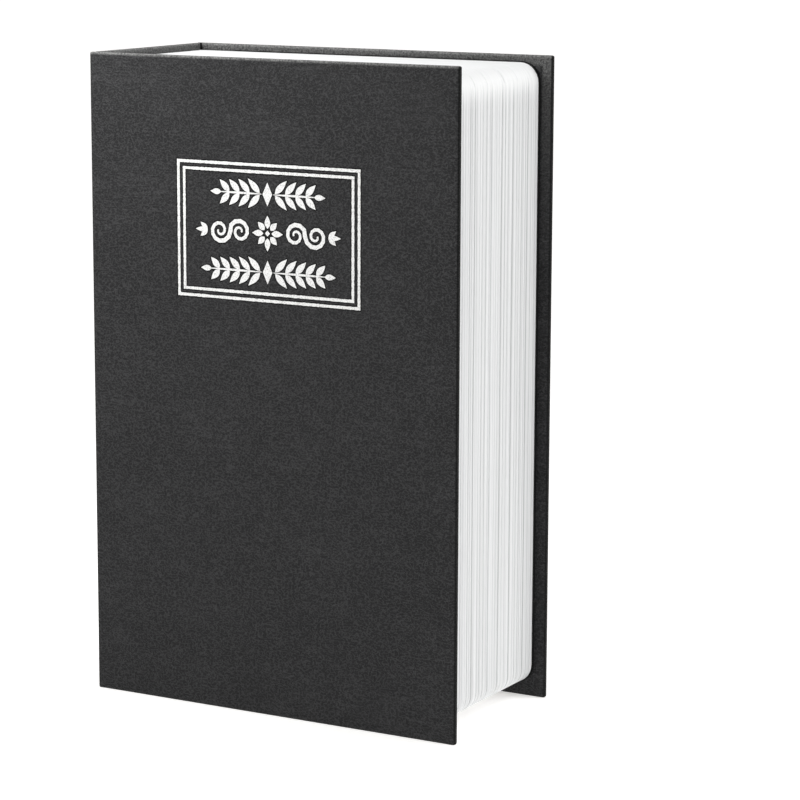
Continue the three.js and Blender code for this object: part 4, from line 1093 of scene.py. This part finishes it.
for wheel, name in enumerate(wheels, 1):
    low, high = corners(name)
    axis = (low + high) / 2
    radius = (high.x - low.x) / 2
    points, faces = [], []
    for number in range(DIGITS):
        flat_points, flat_faces = foil_bars(number_strips(number), 0)
        faces += shifted(flat_faces, len(points))
        for x, y, z in flat_points:
            reach = radius + (NUMBER_PROUD if y < 0 else -NUMBER_SINK)
            angle = number * 2 * math.pi / DIGITS + x / radius - math.pi / 2
            points.append((axis.x + reach * math.cos(angle), axis.y + reach * math.sin(angle), axis.z + z))
    numbers = mesh_piece(f"wheel_{wheel}_numbers", points, faces, number_white)
    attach(numbers, f"wheel_{wheel}")

panel_low, panel_high = corners("lock_panel")
mark_points, mark_faces, tab_points, tab_faces = [], [], [], []
for name in wheels:
    low, high = corners(name)
    axis = (low + high) / 2
    reach = (high.x - low.x) / 2 + TAB_TO_WHEEL
    under = []
    for k in range(TAB_STEPS + 1):
        x = TAB_START + TAB_HOLLOW * k / TAB_STEPS
        under.append((x, -math.sqrt(reach**2 - x**2)))
    floor_y = panel_high.y - axis.y
    rounded_start = TAB_START + 0.12
    rounded_end = TAB_END - 0.1
    tab_start = under[0][1] - TAB_LIP
    tab_end = panel_low.y - axis.y - TAB_TO_PANEL
    side = under + [
        (TAB_END, floor_y), (TAB_END, tab_end + 0.1), (rounded_end, tab_end),
        (rounded_start, tab_start), (TAB_START, tab_start + 0.08),
    ]
    count = len(side)
    caps = [tuple(range(count)), tuple(range(count, 2 * count))]
    tab_faces += shifted(caps + skin_faces(2, count), len(tab_points))
    for z in (-TAB_HALF_HEIGHT, TAB_HALF_HEIGHT):
        tab_points += [(axis.x + x, axis.y + y, axis.z + z) for x, y in side]
    rise = (tab_end - tab_start) / (rounded_end - rounded_start)
    start = TAB_START + MARK_FROM_EDGE
    line = [Vector((start + MARK_LENGTH * k / MARK_STEPS, 0)) for k in range(MARK_STEPS + 1)]
    flat_points, flat_faces = foil_bars([stroke(line, [MARK_WIDTH] * len(line))], 0)
    mark_faces += shifted(flat_faces, len(mark_points))
    for x, y, z in flat_points:
        slope_y = tab_start + rise * (x - rounded_start)
        mark_points.append((axis.x + x, axis.y + slope_y + y + MARK_SINK, axis.z + z))
tabs = mesh_piece("window_tabs", tab_points, tab_faces, black)
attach(tabs, "lid")
marks = mesh_piece("window_marks", mark_points, mark_faces, number_white)
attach(marks, "lid")


# The knob is a black moulding pressed on the spindle: a skirt, a tapered grip and a dished face with a raised
# arrow that shows which way it locks.
KNOB_SIDES = 96
DISH = 0.45
DISH_RADIUS = 6.2
DISH_WALL = 1.2
FACE_RADIUS = 7.7
SKIRT_HEIGHT = 1.1
SKIRT_STEP = 0.5
SOCKET_RADIUS = 3.1
SOCKET_DEPTH = 3
KNOB_ROUNDS = {1: 0.5, 2: 0.5, 3: 0.7, 4: 0.3, 5: 0.3, 6: 0.25}
ROUND_STEPS = 4
ARROW_RADIUS = 4.3
ARROW_LINE = 0.75
ARROW_PROUD = 0.3
ARROW_SINK = 0.05
ARROW_HEAD = 2.2
ARROW_HEAD_WIDTH = 2.5
KNOB_BLACK = (15, 15, 16)
KNOB_LOW = (12, 12, 13)
KNOB_HIGH = (19, 19, 20)

knob_low, knob_high = corners("knob")
knob_middle = (knob_low + knob_high) / 2
knob_radius = (knob_high.x - knob_low.x) / 2
knob_black, shader, place = new_finish("knob_black", KNOB_BLACK, 0.4, Specular_IOR_Level=0.3)
spark = clouds(place, 0.22, 2)
vary(shader, mix(spark, KNOB_LOW, KNOB_HIGH), 0.34 + 0.14 * spark, relief(spark, 0.012))


def turned(profile, center, sides):
    """A closed turned piece on an axis along Y from (radius, y) points whose ends lie on the axis."""
    points = [(center.x, profile[0][1], center.z)]
    for radius, y in profile[1:-1]:
        for k in range(sides):
            angle = 2 * math.pi * k / sides
            points.append((center.x + radius * math.cos(angle), y, center.z + radius * math.sin(angle)))
    points.append((center.x, profile[-1][1], center.z))
    faces = shifted(skin_faces(len(profile) - 2, sides), 1)
    last = len(points) - 1
    for end, ring in ((0, 1), (last, last - sides)):
        faces += [(end, ring + k, ring + (k + 1) % sides) for k in range(sides)]
    return points, faces


def rounded(corner_before, corner, corner_after, radius):
    """Points of a small round at a corner of a profile."""
    before, at, after = (Vector(point) for point in (corner_before, corner, corner_after))
    a = at + (before - at).normalized() * radius
    b = at + (after - at).normalized() * radius
    shares = [k / ROUND_STEPS for k in range(ROUND_STEPS + 1)]
    return [tuple(a.lerp(at, t).lerp(at.lerp(b, t), t)) for t in shares]


top = knob_low.y
skirt = knob_high.y - SKIRT_HEIGHT
socket = knob_high.y - SOCKET_DEPTH
outline = [
    (0, top + DISH), (DISH_RADIUS - DISH_WALL, top + DISH), (DISH_RADIUS, top), (FACE_RADIUS, top),
    (knob_radius - SKIRT_STEP, skirt - SKIRT_STEP), (knob_radius, skirt), (knob_radius, knob_high.y),
    (SOCKET_RADIUS, knob_high.y), (SOCKET_RADIUS, socket), (0, socket),
]
profile = []
for k, point in enumerate(outline):
    if k in KNOB_ROUNDS:
        profile += rounded(outline[k - 1], point, outline[k + 1], KNOB_ROUNDS[k])
    else:
        profile.append(point)
points, faces = turned(profile, knob_middle, KNOB_SIDES)
knob = mesh_piece("turning_knob", points, faces, knob_black, 50)
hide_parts("knob")
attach(knob, "knob")

arrow_line = arc_points((knob_middle.x, knob_middle.z), ARROW_RADIUS, ARROW_RADIUS, -60, 75, 20)
arrow_strips = [stroke(arrow_line, [ARROW_LINE] * len(arrow_line))]
head_start = arrow_line[0]
tip = head_start + (head_start - arrow_line[1]).normalized() * ARROW_HEAD
head_line = [head_start, head_start.lerp(tip, 0.5), tip]
arrow_strips.append(stroke(head_line, [ARROW_HEAD_WIDTH, ARROW_HEAD_WIDTH / 2, 0.05]))
points, faces = foil_bars(arrow_strips, 0)
lifted = [(x, top + DISH + (ARROW_SINK if y == 0 else -ARROW_PROUD), z) for x, y, z in points]
arrow = mesh_piece("knob_arrow", lifted, faces, knob_black, 30)
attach(arrow, "knob")


# The book stands on a plain white floor that glows a little, like a light table, under a broad soft sky. A
# small key light stands near the cover's upper left corner, and another on the side of the pages. The
# camera's lens, place and angles are fitted to the book's corners in the photograph.
FLOOR_SIZE = 60.0
FLOOR_GLOW = 0.45
FLOOR_DROP = 0.02
FLOOR_WHITE = (250, 249, 248)
FLOOR_LOW = (239, 239, 239)
FLOOR_HIGH = (243, 243, 243)
GLOW_WHITE = (255, 253, 250)
SKY = 0.12
SUN_POWER = 1.78
SUN_SPREAD = 60
SUN_LEAN = (-10, 15, 0)
LENS = 132.411
SENSOR = 36.0
CAMERA_PLACE = (0.4135, -0.69282, 0.22835)
CAMERA_TURN = 29.277
CAMERA_TILT = 10.14
CAMERA_ROLL = 0.222

floor_white, shader, place = new_finish(
    "floor_white", FLOOR_WHITE, 0.8,
    Specular_IOR_Level=0.0, Emission_Color=paint(*GLOW_WHITE), Emission_Strength=FLOOR_GLOW,
)
vary(shader, mix(clouds(place, 40, 2), FLOOR_LOW, FLOOR_HIGH))
half_floor = FLOOR_SIZE / 2 / MM
floor_corners = ((-1, -1), (1, -1), (1, 1), (-1, 1))
floor_points = [(x * half_floor, y * half_floor, -FLOOR_DROP) for x, y in floor_corners]
floor = mesh_piece("floor", floor_points, [(0, 1, 2, 3)], floor_white)

world = bpy.data.worlds.new("studio")
bpy.context.scene.world = world
world.use_nodes = True
sky = world.node_tree.nodes["Background"]
ray = Wire(world.node_tree.nodes.new("ShaderNodeTexCoord").outputs["Generated"])
plug(sky.inputs["Color"], ramp(abs(coordinate(ray, 2)), (0.14, 1), (0.25, SKY)))


def soft_light(name, place, aim, size, power):
    """A square light that doesn't show in the picture."""
    lamp = bpy.data.lights.new(name, "AREA")
    lamp.size = size
    lamp.energy = power
    holder = bpy.data.objects.new(name, lamp)
    holder.location = place
    holder.rotation_euler = (Vector(aim) - Vector(place)).to_track_quat("-Z", "Y").to_euler()
    holder.visible_camera = False
    bpy.context.scene.collection.objects.link(holder)


soft_light("key_light", (-0.105, -0.145, 0.275), (-0.045, 0, 0.15), 0.12, 0.47)
soft_light("side_light", (0.8, 0.36, 0.72), (0, 0, 0.12), 0.4, 2.0)
sky_light = bpy.data.lights.new("sky_light", "SUN")
sky_light.energy = SUN_POWER
sky_light.angle = math.radians(SUN_SPREAD)
sky_holder = bpy.data.objects.new("sky_light", sky_light)
sky_holder.rotation_euler = [math.radians(angle) for angle in SUN_LEAN]
bpy.context.scene.collection.objects.link(sky_holder)

camera_data = bpy.data.cameras.new("camera")
camera_data.lens = LENS
camera_data.sensor_width = SENSOR
camera_data.clip_end = 100
camera = bpy.data.objects.new("camera", camera_data)
facing = Matrix.Identity(4)
for angle, axis in ((CAMERA_TURN, "Z"), (90 - CAMERA_TILT, "X"), (CAMERA_ROLL, "Z")):
    facing = facing @ Matrix.Rotation(math.radians(angle), 4, axis)
camera.matrix_world = Matrix.Translation(CAMERA_PLACE) @ facing
bpy.context.scene.collection.objects.link(camera)
bpy.context.scene.camera = camera
bpy.context.scene.view_settings.view_transform = "Standard"
